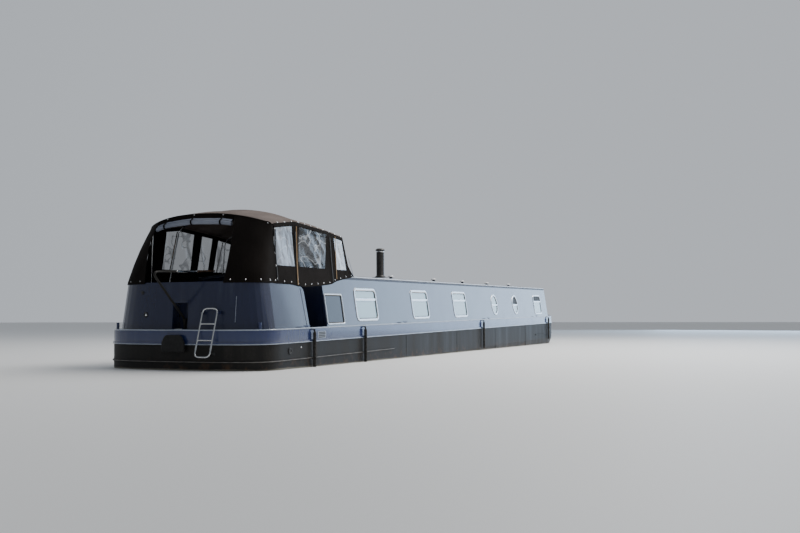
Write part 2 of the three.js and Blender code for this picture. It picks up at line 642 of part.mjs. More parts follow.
// heights over the roof of the lid's two faces and its runners' tops; the grip's
// place, half length, height over the rails, radius and depth of its posts
const lidShape = { under: 38, over: 58, runnerTop: 45, bar: 8 };
const lidGrip = { in: 60, half: 90, rise: 70, radius: 9, post: 50 };
function makeHatch() {
  const { aft, length, half } = hatch;
  const { under, over, runnerTop, bar: thick } = lidShape;
  const rail = eavesZ + crownAt(half) + hatchRail.rise + gap;
  const section = [...arch(half, under, 6), ...arch(half, over, 6).slice().reverse()];
  const lid = profileAlong(section, aft, aft + length);
  const runners = [-1, 1].map((hand) => {
    const y = hand * (half - thick);
    return box(aft, aft + length, y - thick, y + thick, rail, eavesZ + crownAt(half) + runnerTop);
  });
  const x = aft + lidGrip.in;
  const z = rail + lidGrip.rise;
  const posts = [-1, 1].map((hand) => {
    const y = hand * (lidGrip.half - thick);
    return box(x - thick, x + thick, y - thick, y + thick, z - lidGrip.post, z);
  });
  const handle = rod(at(x, -lidGrip.half, z), at(x, lidGrip.half, z), lidGrip.radius, 8);
  return join(lid, ...runners, handle, ...posts);
}

// End walls, each with a doorway for two leaves hung on its outer face
const knuckle = { radius: 9, height: 40, off: 12, axisOff: 2, wallLeaf: 30, doorLeaf: 40, sunk: 5 };
const rear = {
  x: cabinAft, out: -1, sill: 1290, head: 2196, half: 355,
  low: deckZ + gap, lowHalf: halfBeam - bandWidth - eaveGap,
};
const front = {
  x: cabinFore, out: 1, sill: 900, head: 2150, half: 330,
  low: wellZ + gap, lowHalf: halfBeam - bandWidth - 22,
};
const hingeHeights = (end) => [end.sill + 150, end.head - 270];
function hingeAxis(end, hand) {
  return { x: end.x + end.out * knuckle.off, y: hand * (end.half + knuckle.axisOff) };
}
const endGap = 1.8;              // from an end wall to the leaning walls and the roof
const endStep = 5;               // height over the gunwale where an end wall widens
function makeEndWall(end) {
  const x0 = Math.min(end.x, end.x - end.out * wall);
  const x1 = x0 + wall;
  const topHalf = roofHalfAt(eavesZ - roofThick) - wall - endGap;
  const underRoof = eavesZ - roofThick - endGap;
  const top = Array.from({ length: 11 }, (_, i) => {
    const y = topHalf - (2 * topHalf * i) / 10;
    return [y, underRoof + camber * (1 - (y / roofHalfAt(eavesZ - roofThick)) ** 2)];
  });
  const step = gunwaleZ + endStep;
  const outline = [
    [-end.lowHalf, end.low], [end.lowHalf, end.low], [end.lowHalf, step], ...top, [-end.lowHalf, step],
  ];
  const doorway = box(x0 - bite, x1 + bite, -end.half, end.half, end.sill, end.head);
  let whole = profileAlong(outline, x0, x1).subtract(doorway);
  for (const hand of [-1, 1]) {
    const axis = hingeAxis(end, hand);
    for (const z of hingeHeights(end)) {
      for (const low of [z, z + 2 * knuckle.height]) {
        const high = low + knuckle.height;
        whole = whole.add(rod(at(axis.x, axis.y, low), at(axis.x, axis.y, high), knuckle.radius, 10));
        const root = end.x - end.out * knuckle.sunk;
        whole = whole.add(slab(root, axis.x, axis.y, axis.y + hand * knuckle.wallLeaf, low, high));
      }
    }
  }
  return whole;
}
const door = { thick: 36, play: 5, meeting: 3, hingeEdge: 4 };
function makeLeaf(end, hand) {
  const { thick, play, meeting, hingeEdge } = door;
  const inner = end.x - end.out * thick;
  let leaf = slab(inner, end.x, hand * meeting, hand * (end.half - play), end.sill + play, end.head - play);
  const axis = hingeAxis(end, hand);
  const root = end.x - end.out * knuckle.sunk;
  for (const z of hingeHeights(end)) {
    const low = z + knuckle.height + gap;
    const high = z + 2 * knuckle.height - gap;
    leaf = leaf.add(rod(at(axis.x, axis.y, low), at(axis.x, axis.y, high), knuckle.radius, 10));
    const far = axis.y - hand * knuckle.doorLeaf;
    leaf = leaf.add(slab(root, axis.x, far, axis.y - hand * hingeEdge, low, high));
  }
  return leaf;
}

// Hood: one closed shell of cloth over the stern, open below and at its aft panel
// station, height of the side's top edge, height of the crown
const hoodLine = [
  [-3300, 3000, 3255], [-2850, 3030, 3345], [-2110, 3116, 3440], [-900, 3035, 3370], [-290, 2960, 3240],
];
function hoodAt(x, column) {
  const found = hoodLine.findIndex((row) => x <= row[0]);
  const next = found < 0 ? hoodLine.length - 1 : Math.max(1, found);
  const low = hoodLine[next - 1];
  const high = hoodLine[next];
  const share = Math.min(Math.max((x - low[0]) / (high[0] - low[0]), 0), 1);
  return low[column] + share * (high[column] - low[column]);
}
const hoodThick = 14;
const hoodRoll = 95;             // from the side's top edge up to the shoulder
const shoulderHalf = 1156;
const eaveHalf = 1236;
const crownPower = 2.2;
const hoodStations = [-2450, -2110, -1700, -1340, -900, -600];
const hoodTop = (x, y) => {
  const shoulder = hoodAt(x, 1) + hoodRoll;
  const crown = hoodAt(x, 2);
  return crown - (crown - shoulder) * Math.min(Math.abs(y) / shoulderHalf, 1) ** crownPower;
};
const skirtLap = 22;             // how far the cloth laps over the bulwark's outer face
const skirtZ = bulwarkTop - skirtLap;
const skirtOff = gap + hoodThick - gunwaleWidth;
const skirtOut = skirtOff - leanAt(skirtZ);
const skirtAft = sternStart - sternDepth - skirtOff + sternLean * leanAt(skirtZ);
// height of the skirt over the open gap, then on the cabin, where it rises forward;
// the front panel's foot is arched over the roof
const skirt = { gapZ: 2060, cabinZ: 2080, slope: 0.13, archHalf: 1200, arch: 100 };
function skirtAt(x) {
  if (x < bulwarkSag.from) return skirtZ;
  return x < cabinAft ? skirt.gapZ : skirt.cabinZ + (x - cabinAft) * skirt.slope;
}
const eaveHeight = (x, y) => hoodTop(x, y * shoulderHalf / eaveHalf) - hoodRoll;
const skirtHeight = (x, y) => skirtAt(x) + (x > 0 && Math.abs(y) < skirt.archHalf ? skirt.arch : 0);
// half width, aft end, start of the round stern, fore end, height; the skirt's
// width follows the leaning wall where its edge is lower or higher than skirtZ
const alongWall = {
  half: halfBeam + skirtOut, aft: skirtAft, start: sternStart, widen: (z) => lean * (skirtZ - z),
};
const hoodRings = [
  { ...alongWall, fore: 30, height: skirtHeight },
  { ...alongWall, fore: 22, height: (x, y) => skirtHeight(x, y) + skirtLap + 1 },
  { half: 1303, aft: -3570, start: -3060, fore: -160, height: () => 2500 },
  { half: eaveHalf, aft: -3275, start: -2850, fore: -235, height: eaveHeight },
  { half: shoulderHalf, aft: -3205, start: -2830, fore: -330, height: hoodTop },
  { half: 780, aft: -3080, start: -2500, fore: -600, height: hoodTop },
  { half: 380, aft: -2850, start: -2300, fore: -900, height: hoodTop },
];
function hoodRing({ half, aft, start, fore, height, widen = () => 0 }, inset, drop) {
  const b = half - inset;
  const depth = start - aft - inset;
  const stern = Array.from({ length: sternSteps + 1 }, (_, i) => {
    const a = (i / sternSteps) * Math.PI / 2;
    return [start - depth * Math.cos(a) ** (2 / sternPower), -b * Math.sin(a) ** (2 / sternPower)];
  });
  const side = hoodStations.map((x) => [Math.min(Math.max(x, start + 5), fore - 5), -b]);
  for (let i = 1; i < side.length; i++) side[i][0] = Math.max(side[i][0], side[i - 1][0] + 1);
  const front = [[fore - inset, -b], [fore - inset, -b * 0.5], [fore - inset, 0]];
  const starboard = [...stern, ...side, ...front].map(([x, y]) => {
    const z = height(x, y) - drop;
    return at(x, y * (1 + widen(z) / b), z);
  });
  return [...starboard, ...starboard.slice(1, -1).reverse().map((p) => at(p.x, -p.y, p.z))];
}
const hoodOpening = { aft: -4500, fore: -3060, half: 760, low: 1900, top: 2985 };
function makeHood() {
  const outer = hoodRings.map((ring) => hoodRing(ring, 0, 0));
  const inner = hoodRings.map((ring, k) => hoodRing(ring, hoodThick, k < 2 ? 0 : hoodThick));
  const shell = solids.from(loft([...outer.slice().reverse(), ...inner]));
  const { aft, fore, half, low, top } = hoodOpening;
  return shell.subtract(box(aft, fore, -half, half, low, top));
}

// Chimney with its cap, and the plain block of the engine
const chimney = { x: 2300, y: -900, radius: 85, soleHalf: 130, soleThick: 20, lift: 12 };
function makeChimney() {
  const { x, y, radius, soleHalf, soleThick, lift } = chimney;
  const profile = [
    [0, 0], [radius + 35, 0], [radius + 35, 25], [radius, 40], [radius, 590],
    [radius + 19, 590], [radius + 19, 612], [70, 640], [0, 640],
  ].map(([r, h]) => new THREE.Vector2(r, h));
  const made = new THREE.LatheGeometry(profile, 16);
  made.rotateX(Math.PI / 2);
  made.translate(x, y, eavesZ + crownAt(y) + lift);
  const sole = box(x - soleHalf, x + soleHalf, y - soleHalf, y + soleHalf, eavesZ, eavesZ + 2 * camber);
  const roofHalf = roofHalfAt(eavesZ);
  const bedOutline = [...arch(roofHalf, gap), ...arch(roofHalf, soleThick).slice().reverse()];
  const bed = profileAlong(bedOutline, x - soleHalf - bite, x + soleHalf + bite);
  return solids.from(made).add(bed.intersect(sole));
}
const engine = { aft: -2350, fore: -1450, half: 300, top: 1050 };
const makeEngine = () => box(engine.aft, engine.fore, -engine.half, engine.half, bay.sumpZ + gap, engine.top);

// Fenders
const fenderStations = [-2150, -60, 7450, 14600];
const fender = { radius: 32, length: 740, foot: 560 };
function makeFender(x, hand) {
  const y = hand * (halfBeam + railDepth + fender.radius + gap);
  const { radius, length } = fender;
  const profile = [
    [0, 0], [20, 4], [radius, 22], [radius, length - 40], [14, length - 16], [14, length], [0, length],
  ].map(([r, h]) => new THREE.Vector2(r, h));
  const made = new THREE.LatheGeometry(profile, 10);
  made.rotateX(Math.PI / 2);
  made.translate(x, y, fender.foot);
  return solids.from(made);
}
const sternPad = {
  outline: [[-230, 960], [230, 960], [215, 1120], [150, 1240], [-150, 1240], [-215, 1120]],
  proud: 95,
  sunk: 60,
};
function makeSternFender() {
  const face = sternStart - sternDepth;
  const block = profileAlong(sternPad.outline, face - sternPad.proud, face + sternPad.sunk);
  const clear = loft([counterZ, gunwaleZ].map((z) => hullRing(railDepth + gap, level(z))));
  return block.subtract(solids.from(clear));
}
const bowFender = { z: 1330, radius: 112 };
function makeBowFender() {
  const profile = [[0, -210], [70, -190], [105, -120], [bowFender.radius, 0], [105, 120], [70, 190], [0, 210]]
    .map(([r, h]) => new THREE.Vector2(r, h));
  const made = new THREE.LatheGeometry(profile, 14);
  made.rotateX(Math.PI / 2);
  made.rotateY(Math.atan(stemRake));
  made.translate(stemAt(bowFender.z) + bowFender.radius, 0, bowFender.z);
  const clear = loft([counterZ, bulwarkTop].map((z) => hullRing(gap, level(z))));
  return cut(solids.from(made), solids.from(clear));
}

// Hoops of stainless tube inside the hood, each on two feet
const hoopTube = 13;
const hoopInset = 34;
// name, station of the feet and of the crown, half width and height of the feet
const hoopRows = [
  ['hoop_main', -2283, -2125, 1318, 2081.3], ['hoop_fore', -600, -600, 1262, 2261.3],
  ['hoop_aft', -2800, -2900, 1318, 2102.7],
];
// half width of the hoop at its elbow, shoulder and two places under the roof
const hoopBends = { elbow: 1200, elbowDrop: 12, shoulder: 1118, outer: 740, inner: 340, under: 40, bend: 60 };
function makeHoop(footX, topX, footY, footZ) {
  const { elbow, elbowDrop, shoulder, outer, inner, under, bend } = hoopBends;
  const edge = hoodAt(topX, 1);
  const half = [
    at(footX, -footY, footZ),
    at(topX, -elbow, edge - elbowDrop),
    at(topX, -shoulder, edge + hoodRoll - hoopInset),
    at(topX, -outer, hoodTop(topX, outer + under) - hoopInset),
    at(topX, -inner, hoodTop(topX, inner + 2 * under) - hoopInset),
  ];
  return tube([...half, ...half.slice().reverse().map((p) => at(p.x, -p.y, p.z))], hoopTube, bend);
}

const boat = new THREE.Group();
boat.position.x = -midship;
function place(name, solid, look) {
  const mesh = new THREE.Mesh(solids.geometry(solid), new THREE.MeshStandardMaterial(paint[look]));
  mesh.name = name;
  boat.add(mesh);
}

place('hull', makeHull(), 'black');
place('gunwale_band', makeBand(), 'band');
place('guard_rail', makeRail(guardZ, aftOfAll, foreOfAll), 'band');
place('stern_strake', makeRail(sternStrakeZ, aftOfAll, strakeEnds.stern), 'black');
place('bow_strake', makeRail(bowStrakeZ, strakeEnds.bow, foreOfAll), 'black');
place('skeg', makeSkeg(), 'black');
place('stern_deck', makeSternDeck(), 'deck');
place('foredeck', makeForedeck(), 'deck');
place('stern_bulwark', makeBulwark(), 'navy');
place('cabin_side_starboard', makeCabinSide(-1), 'navy');
place('cabin_side_port', makeCabinSide(1), 'navy');
place('cabin_roof', makeRoof(), 'roof');
place('rear_bulkhead', makeEndWall(rear), 'navy');
place('front_bulkhead', makeEndWall(front), 'navy');
for (const w of windows) {
  place(`${w.name}_starboard`, makeWindow(w, -1), 'glass');
  place(`${w.name}_port`, makeWindow(w, 1), 'glass');
}
place('rear_door_starboard', makeLeaf(rear, -1), 'navy');
place('rear_door_port', makeLeaf(rear, 1), 'navy');
place('front_door_starboard', makeLeaf(front, -1), 'navy');
place('front_door_port', makeLeaf(front, 1), 'navy');
place('sliding_hatch', makeHatch(), 'roof');
place('chimney', makeChimney(), 'black');
place('engine', makeEngine(), 'iron');
place('rudder', makeRudder(), 'black');
place('tiller', makeTiller(), 'black');
place('propeller', makePropeller(), 'bronze');
place('boarding_ladder', makeLadder(), 'steel');
place('stern_fender', makeSternFender(), 'rope');
place('bow_fender', makeBowFender(), 'rope');
fenderStations.forEach((x, i) => {
  place(`fender_starboard_${i + 1}`, makeFender(x, -1), 'rope');
  place(`fender_port_${i + 1}`, makeFender(x, 1), 'rope');
});
place('hood', makeHood(), 'canvas');
for (const [name, ...row] of hoopRows) place(name, makeHoop(...row), 'steel');

export default boat;
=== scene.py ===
"""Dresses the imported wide-beam narrowboat: paint, hood cloth, windows, ropes and fittings.

Metres, +X to the bow, +Y to port, +Z up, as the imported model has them. Stations are
counted as in the construction and moved by MIDSHIP.
"""
import math

import bmesh
import bpy
from mathutils import Matrix, Vector, noise
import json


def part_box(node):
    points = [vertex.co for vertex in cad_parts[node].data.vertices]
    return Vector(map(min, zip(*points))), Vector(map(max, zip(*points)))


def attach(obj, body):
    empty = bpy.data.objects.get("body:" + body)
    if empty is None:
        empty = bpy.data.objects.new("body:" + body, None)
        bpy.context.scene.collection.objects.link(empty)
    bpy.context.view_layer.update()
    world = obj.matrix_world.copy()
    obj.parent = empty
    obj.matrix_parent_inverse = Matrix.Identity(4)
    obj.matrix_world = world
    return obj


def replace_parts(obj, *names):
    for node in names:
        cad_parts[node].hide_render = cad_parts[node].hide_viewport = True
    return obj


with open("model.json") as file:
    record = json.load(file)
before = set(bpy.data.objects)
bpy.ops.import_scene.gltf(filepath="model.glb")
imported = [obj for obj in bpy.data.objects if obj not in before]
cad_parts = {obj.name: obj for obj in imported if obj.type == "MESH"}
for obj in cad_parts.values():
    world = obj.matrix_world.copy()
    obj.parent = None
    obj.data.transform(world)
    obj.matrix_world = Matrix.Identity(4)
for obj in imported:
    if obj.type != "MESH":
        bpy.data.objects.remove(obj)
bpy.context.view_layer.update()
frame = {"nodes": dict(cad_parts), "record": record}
nodes = frame["nodes"]

# Driving places, in metres
MIDSHIP = 6.48797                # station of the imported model's origin
TRIM = 0.0145                    # the boat floats with its bow a little up
WATER_Z = 0.614                  # height of the water at station 0
HALF_BEAM = 1.58
GUNWALE_Z = 1.32
GUNWALE_WIDTH = 0.119
GUARD_Z = 1.091
LEAN = 0.148                     # the sides lean in by this for each metre of height
EAVES_Z = 2.25
CAMBER = 0.1
CABIN_AFT = -1.34
CABIN_FORE = 15.19
STERN_START = -3.2
STERN_DEPTH = 0.69
STERN_POWER = 3                  # of the curve that the stern has in plan


def at(station, y, z):
    """A point given by station instead of x."""
    return Vector((station - MIDSHIP, y, z))


def lean_at(z):
    return LEAN * (z - GUNWALE_Z)


def cabin_y(z):
    """Half width of the cabin's and the bulwark's outer face at a height."""
    return HALF_BEAM - GUNWALE_WIDTH - lean_at(z)


def lerp(a, b, share):
    return a + (b - a) * share


def clamp(value, low=0.0, high=1.0):
    return max(low, min(high, value))


def show(name, data):
    """A new object in the scene."""
    obj = bpy.data.objects.new(name, data)
    bpy.context.scene.collection.objects.link(obj)
    return obj


# Camera, floor and light
PHOTO_WIDTH = 800
FOCAL_PIXELS = 941.08
SENSOR = 36.0
CAMERA_PLACE = at(-16.575, -9.26, 1.667)
HEADING = 0.3962                 # of the view, from the boat's length towards port
PITCH = 0.0563
ROLL = 0.0016
FAR = 900.0                      # nothing is further from the camera


def water_axes():
    """The level frame of the water, seen in the boat's own frame."""
    ahead = Vector((math.cos(TRIM), 0, -math.sin(TRIM)))
    up = Vector((math.sin(TRIM), 0, math.cos(TRIM)))
    return ahead, Vector((0, 1, 0)), up


def make_camera():
    ahead, port, up = water_axes()
    level = ahead * math.cos(HEADING) + port * math.sin(HEADING)
    right = ahead * math.sin(HEADING) - port * math.cos(HEADING)
    forward = level * math.cos(PITCH) + up * math.sin(PITCH)
    top = up * math.cos(PITCH) - level * math.sin(PITCH)
    side = right * math.cos(ROLL) - top * math.sin(ROLL)
    head = top * math.cos(ROLL) + right * math.sin(ROLL)
    data = bpy.data.cameras.new("view")
    data.sensor_width = SENSOR
    data.lens = SENSOR * FOCAL_PIXELS / PHOTO_WIDTH
    data.clip_end = FAR
    camera = show("view", data)
    turn = Matrix((side, head, -forward)).transposed().to_4x4()
    camera.matrix_world = Matrix.Translation(CAMERA_PLACE) @ turn
    bpy.context.scene.camera = camera


# Materials
class Look:
    """A Principled material with a few helpers for its nodes."""

    def __init__(self, name, colour, rough, metal=0.0):
        self.material = bpy.data.materials.new(name)
        self.material.use_nodes = True
        self.tree = self.material.node_tree
        self.shader = self.tree.nodes["Principled BSDF"]
        self.set("Base Color", (*colour, 1))
        self.set("Roughness", rough)
        self.set("Metallic", metal)
        self.place = self.add("ShaderNodeTexCoord").outputs["Object"]

    def set(self, socket, value):
        self.shader.inputs[socket].default_value = value

    def add(self, kind, **values):
        node = self.tree.nodes.new(kind)
        for key, value in values.items():
            if hasattr(node, key):
                setattr(node, key, value)
            else:
                node.inputs[key.replace("_", " ")].default_value = value
        return node

    def link(self, source, target):
        self.tree.links.new(source, target)

    def stretched(self, scale):
        node = self.add("ShaderNodeMapping")
        node.inputs["Scale"].default_value = scale
        self.link(self.place, node.inputs["Vector"])
        return node.outputs["Vector"]

    def noise(self, scale, stretch=(1, 1, 1), detail=4.0, rough=0.55):
        node = self.add("ShaderNodeTexNoise", Scale=scale, Detail=detail, Roughness=rough)
        self.link(self.stretched(stretch), node.inputs["Vector"])
        return node.outputs["Fac"]

    def spread(self, value, low, high, to_low=0.0, to_high=1.0):
        node = self.add("ShaderNodeMapRange")
        node.inputs["From Min"].default_value = low
        node.inputs["From Max"].default_value = high
        node.inputs["To Min"].default_value = to_low
        node.inputs["To Max"].default_value = to_high
        self.link(value, node.inputs["Value"])
        return node.outputs["Result"]

    def math(self, operation, first, second):
        node = self.add("ShaderNodeMath", operation=operation)
        for socket, value in zip(node.inputs, (first, second)):
            if isinstance(value, (int, float)):
                socket.default_value = value
            else:
                self.link(value, socket)
        return node.outputs[0]

    def mix(self, share, first, second):
        node = self.add("ShaderNodeMix", data_type="RGBA")
        self.link(share, node.inputs["Factor"])
        for socket, value in ((node.inputs[6], first), (node.inputs[7], second)):
            if isinstance(value, tuple):
                socket.default_value = (*value, 1)
            else:
                self.link(value, socket)
        return node.outputs[2]

    def wave(self, scale, distortion, detail, direction):
        node = self.add("ShaderNodeTexWave", Scale=scale, Distortion=distortion, Detail=detail,
                        bands_direction=direction)
        self.link(self.stretched((1, 1, 1)), node.inputs["Vector"])
        return node.outputs["Fac"]

    def colour(self, source):
        self.link(source, self.shader.inputs["Base Color"])

    def roughness(self, source):
        self.link(source, self.shader.inputs["Roughness"])

    def bump(self, source, strength, distance):
        node = self.add("ShaderNodeBump", Strength=strength, Distance=distance)
        self.link(source, node.inputs["Height"])
        self.link(node.outputs["Normal"], self.shader.inputs["Normal"])

    def axis(self, direction):
        """Distance of each point along a direction, from the origin."""
        node = self.add("ShaderNodeVectorMath", operation="DOT_PRODUCT")
        node.inputs[1].default_value = direction
        self.link(self.place, node.inputs[0])
        return node.outputs["Value"]


def gloss_paint(name, colour, pale, rough=0.16):
    """Yacht paint: dust in patches, faint vertical runs, and plates that aren't quite flat."""
    look = Look(name, colour, rough)
    look.set("Coat Weight", 0.6)
    look.set("Coat Roughness", 0.06)
    patches = look.noise(0.9, (1, 1, 1.6))
    runs = look.noise(5.0, (1.4, 1.4, 0.12), detail=6)
    dust = look.math("MULTIPLY", look.spread(patches, 0.42, 0.7), look.spread(runs, 0.45, 0.75))
    look.colour(look.mix(dust, colour, pale))
    look.roughness(look.spread(look.noise(2.2, detail=6), 0.3, 0.8, rough, rough + 0.12))
    look.bump(look.noise(1.1, (1, 1, 1.3), detail=2), 0.25, 0.012)
    return look


def hull_black():
    """Blacking with welds, scuffs, a pale painted highlight along the water line and growth below it."""
    dark, worn = (0.011, 0.0105, 0.010), (0.040, 0.036, 0.031)
    look = Look("hull_black", dark, 0.5)
    look.set("Specular IOR Level", 0.22)
    runs = look.noise(3.0, (1.2, 1.2, 0.10), detail=7)
    specks = look.noise(38.0, detail=3, rough=0.7)
    wear = look.math("MULTIPLY", look.spread(runs, 0.42, 0.78), look.spread(specks, 0.35, 0.65, 0.35, 1.0))
    body = look.mix(wear, dark, worn)
    over_water = look.math("SUBTRACT", look.axis((TRIM, 0, 1)), WATER_Z - TRIM * MIDSHIP)
    wave = look.math("ADD", over_water, look.spread(look.noise(2.4, detail=5), 0, 1, -0.02, 0.02))
    low_down = look.spread(wave, 0.0, 0.22, 1.0, 0.0)
    rust = look.math("MULTIPLY", low_down, look.spread(look.noise(7.0), 0.52, 0.7))
    body = look.mix(rust, body, (0.085, 0.046, 0.024))
    # pale band at the water line: a painted highlight where the water meets the hull
    waterline_highlight = look.math("MULTIPLY", look.spread(wave, -0.02, 0.0), look.spread(wave, 0.012, 0.03, 1.0, 0.0))
    body = look.mix(waterline_highlight, body, (0.17, 0.16, 0.13))
    growth = look.spread(wave, -0.05, -0.015, 1.0, 0.0)
    look.colour(look.mix(growth, body, (0.022, 0.026, 0.011)))
    look.roughness(look.spread(runs, 0.3, 0.8, 0.45, 0.66))
    look.bump(look.noise(16.0, detail=6), 0.35, 0.004)
    return look


def deck_paint():
    look = Look("deck_paint", (0.06, 0.065, 0.075), 0.75)
    look.colour(look.mix(look.spread(look.noise(3.0), 0.4, 0.7), (0.05, 0.055, 0.065), (0.10, 0.10, 0.10)))
    look.bump(look.noise(420.0, detail=2), 0.6, 0.001)
    return look


def canvas(name, dark, faded):
    """Coated acrylic: a fine weave, dust along the folds and a weak sheen."""
    look = Look(name, dark, 0.94)
    look.set("Specular IOR Level", 0.08)
    look.set("Sheen Weight", 0.03)
    look.set("Sheen Roughness", 0.4)
    dust = look.noise(1.7, (1, 1, 0.6), detail=7)
    fine = look.noise(55.0, detail=3)
    share = look.math("MULTIPLY", look.spread(dust, 0.35, 0.75), look.spread(fine, 0.3, 0.7, 0.6, 1.0))
    look.colour(look.mix(share, dark, faded))
    weave = look.wave(310.0, 0.4, 1.0, "X")
    slow = look.noise(4.5, (1, 1, 0.5), detail=3)
    look.bump(look.math("ADD", look.math("MULTIPLY", weave, 0.08), slow), 0.5, 0.012)
    return look


def vinyl(name, body, crease, thin, cloudy, patchy, gloss):
    """Flexible window: dim where it lies smooth; pale lines drawn from noise are painted crease highlights,
    and it is less clear along them.
    """
    look = Look("hood_vinyl_" + name, body, 0.12)
    look.set("Specular IOR Level", gloss)
    look.set("Coat Weight", gloss * 0.5)
    look.set("Coat Roughness", 0.05)
    # pale crease lines in the base colour are painted highlights, laid by noise and not by the mesh's folds
    painted_crease_highlights = None
    for scale, stretch in ((1.5, (1.2, 1, 0.6)), (3.1, (0.7, 1, 1.0))):
        field = look.noise(scale, stretch, detail=1.5, rough=0.5)
        ridge = look.math("ABSOLUTE", look.math("SUBTRACT", field, 0.5), 0)
        line = look.spread(ridge, 0.0, 0.028, 1.0, 0.0)
        painted_crease_highlights = line if painted_crease_highlights is None else look.math("MAXIMUM", painted_crease_highlights, line)
    patches = look.spread(look.noise(2.1, (1, 1, 0.6), detail=4), 0.42, 0.68, 0.0, patchy)
    share = look.math("MULTIPLY", look.math("MAXIMUM", painted_crease_highlights, patches), 0.85)
    look.colour(look.mix(share, body, crease))
    look.link(look.spread(share, 0.0, 1.0, thin, cloudy), look.shader.inputs["Alpha"])
    look.bump(look.noise(9.0, (1, 1, 0.7), detail=4), 0.5, 0.012)
    return look


def glass(name, colour, gloss, cover):
    look = Look(name, colour, 0.03)
    look.set("Specular IOR Level", gloss)
    look.set("Coat Weight", gloss)
    look.set("Coat Roughness", 0.02)
    look.set("Alpha", cover)
    look.bump(look.noise(1.6, detail=1), 0.15, 0.01)
    return look


def metal(name, colour, rough):
    look = Look(name, colour, rough, 1.0)
    look.roughness(look.spread(look.noise(60.0, detail=5), 0.3, 0.8, rough * 0.7, rough * 1.4))
    look.bump(look.noise(120.0, detail=3), 0.12, 0.001)
    return look


def plain(name, colour, pale, rough, scale):
    look = Look(name, colour, rough)
    look.colour(look.mix(look.spread(look.noise(scale, detail=6), 0.35, 0.75), colour, pale))
    look.roughness(look.spread(look.noise(scale * 1.7), 0.2, 0.8, rough * 0.85, min(rough * 1.15, 1.0)))
    look.bump(look.noise(scale * 3, detail=4), 0.4, 0.002)
    return look


def rope():
    look = Look("fender_rope", (0.014, 0.013, 0.012), 0.92)
    fluff = look.spread(look.noise(30.0), 0.4, 0.7)
    look.colour(look.mix(fluff, (0.012, 0.011, 0.010), (0.05, 0.047, 0.042)))
    look.bump(look.wave(28.0, 1.2, 2.0, "DIAGONAL"), 0.9, 0.004)
    return look


def wood():
    look = Look("wood", (0.16, 0.07, 0.03), 0.35)
    grain = look.noise(9.0, (0.6, 9, 9), detail=6)
    look.colour(look.mix(look.spread(grain, 0.35, 0.7), (0.11, 0.045, 0.018), (0.26, 0.13, 0.06)))
    look.bump(grain, 0.2, 0.001)
    return look


LOOKS = {
    "black_hull": hull_black(),
    "blue_band": gloss_paint("band_blue", (0.020, 0.033, 0.112), (0.055, 0.072, 0.15)),
    "navy_cabin": gloss_paint("cabin_navy", (0.012, 0.017, 0.050), (0.045, 0.053, 0.088)),
    "roof_paint": plain("roof_paint", (0.030, 0.038, 0.070), (0.075, 0.080, 0.098), 0.5, 6.0),
    "deck_paint": deck_paint(),
    "window_frame": metal("window_frame", (0.80, 0.81, 0.82), 0.24),
    "window_glass": glass("window_glass", (0.33, 0.52, 0.60), 0.8, 0.9),
    "stainless": metal("stainless", (0.70, 0.71, 0.72), 0.14),
    "chimney_paint": plain("chimney_paint", (0.012, 0.012, 0.012), (0.05, 0.045, 0.04), 0.45, 20.0),
    "engine_iron": plain("engine_iron", (0.03, 0.05, 0.04), (0.07, 0.08, 0.07), 0.5, 12.0),
    "bronze": metal("bronze", (0.36, 0.22, 0.09), 0.38),
    "fender_rope": rope(),
    "hood_canvas": canvas("hood_canvas", (0.0060, 0.0046, 0.0040), (0.015, 0.012, 0.0105)),
    "hood_vinyl": vinyl("clear", (0.016, 0.017, 0.019), (0.42, 0.44, 0.46), 0.62, 0.90, 0.15, 0.22),
    "wood_varnish": wood(),
    # roof_canvas: the hood's dark cloth painted many times lighter on the roof, a painted sunlit copy of
    # hood_canvas
    "roof_canvas": canvas("roof_canvas", (0.125, 0.102, 0.092), (0.235, 0.195, 0.175)),
    "pale_cloth": canvas("pale_cloth", (0.22, 0.245, 0.31), (0.36, 0.385, 0.45)),
    "rubber": plain("rubber", (0.012, 0.012, 0.012), (0.03, 0.03, 0.03), 0.6, 30.0),
    "white_fitting": plain("white_fitting", (0.55, 0.57, 0.60), (0.68, 0.69, 0.70), 0.35, 8.0),
}
BLACK_CLOTH = canvas("black_binding", (0.006, 0.0055, 0.005), (0.014, 0.012, 0.011))
DARK_GLASS = glass("dark_glass", (0.035, 0.045, 0.065), 0.25, 0.85)
# pale blue-grey paint; on the gunwale and guard beads it is a painted highlight along the blue band's edges
PALE_BLUE = gloss_paint("pale_edge", (0.34, 0.39, 0.48), (0.52, 0.56, 0.62), 0.22)
# pale paint for the navy cabin's roof edge: a painted highlight
ROOF_EDGE_HIGHLIGHT = gloss_paint("bright_edge", (0.55, 0.60, 0.68), (0.70, 0.73, 0.78), 0.2)
# pale grey on the black stern strake: a painted highlight along the strake's edge
STRAKE_EDGE_HIGHLIGHT = plain("worn_edge", (0.10, 0.095, 0.09), (0.20, 0.19, 0.175), 0.55, 9.0)
BLACK_RUBBER = plain("black_rubber", (0.006, 0.006, 0.006), (0.012, 0.012, 0.011), 0.75, 18.0)
TAN_WEB = canvas("tan_webbing", (0.20, 0.13, 0.07), (0.36, 0.26, 0.16))
VINYL = {
    "clear": LOOKS["hood_vinyl"],
    "hazy": vinyl("hazy", (0.26, 0.29, 0.34), (0.44, 0.48, 0.54), 0.80, 0.95, 0.8, 0.6),
    "pale": vinyl("pale", (0.46, 0.50, 0.56), (0.70, 0.73, 0.78), 0.88, 0.98, 1.0, 0.7),
}


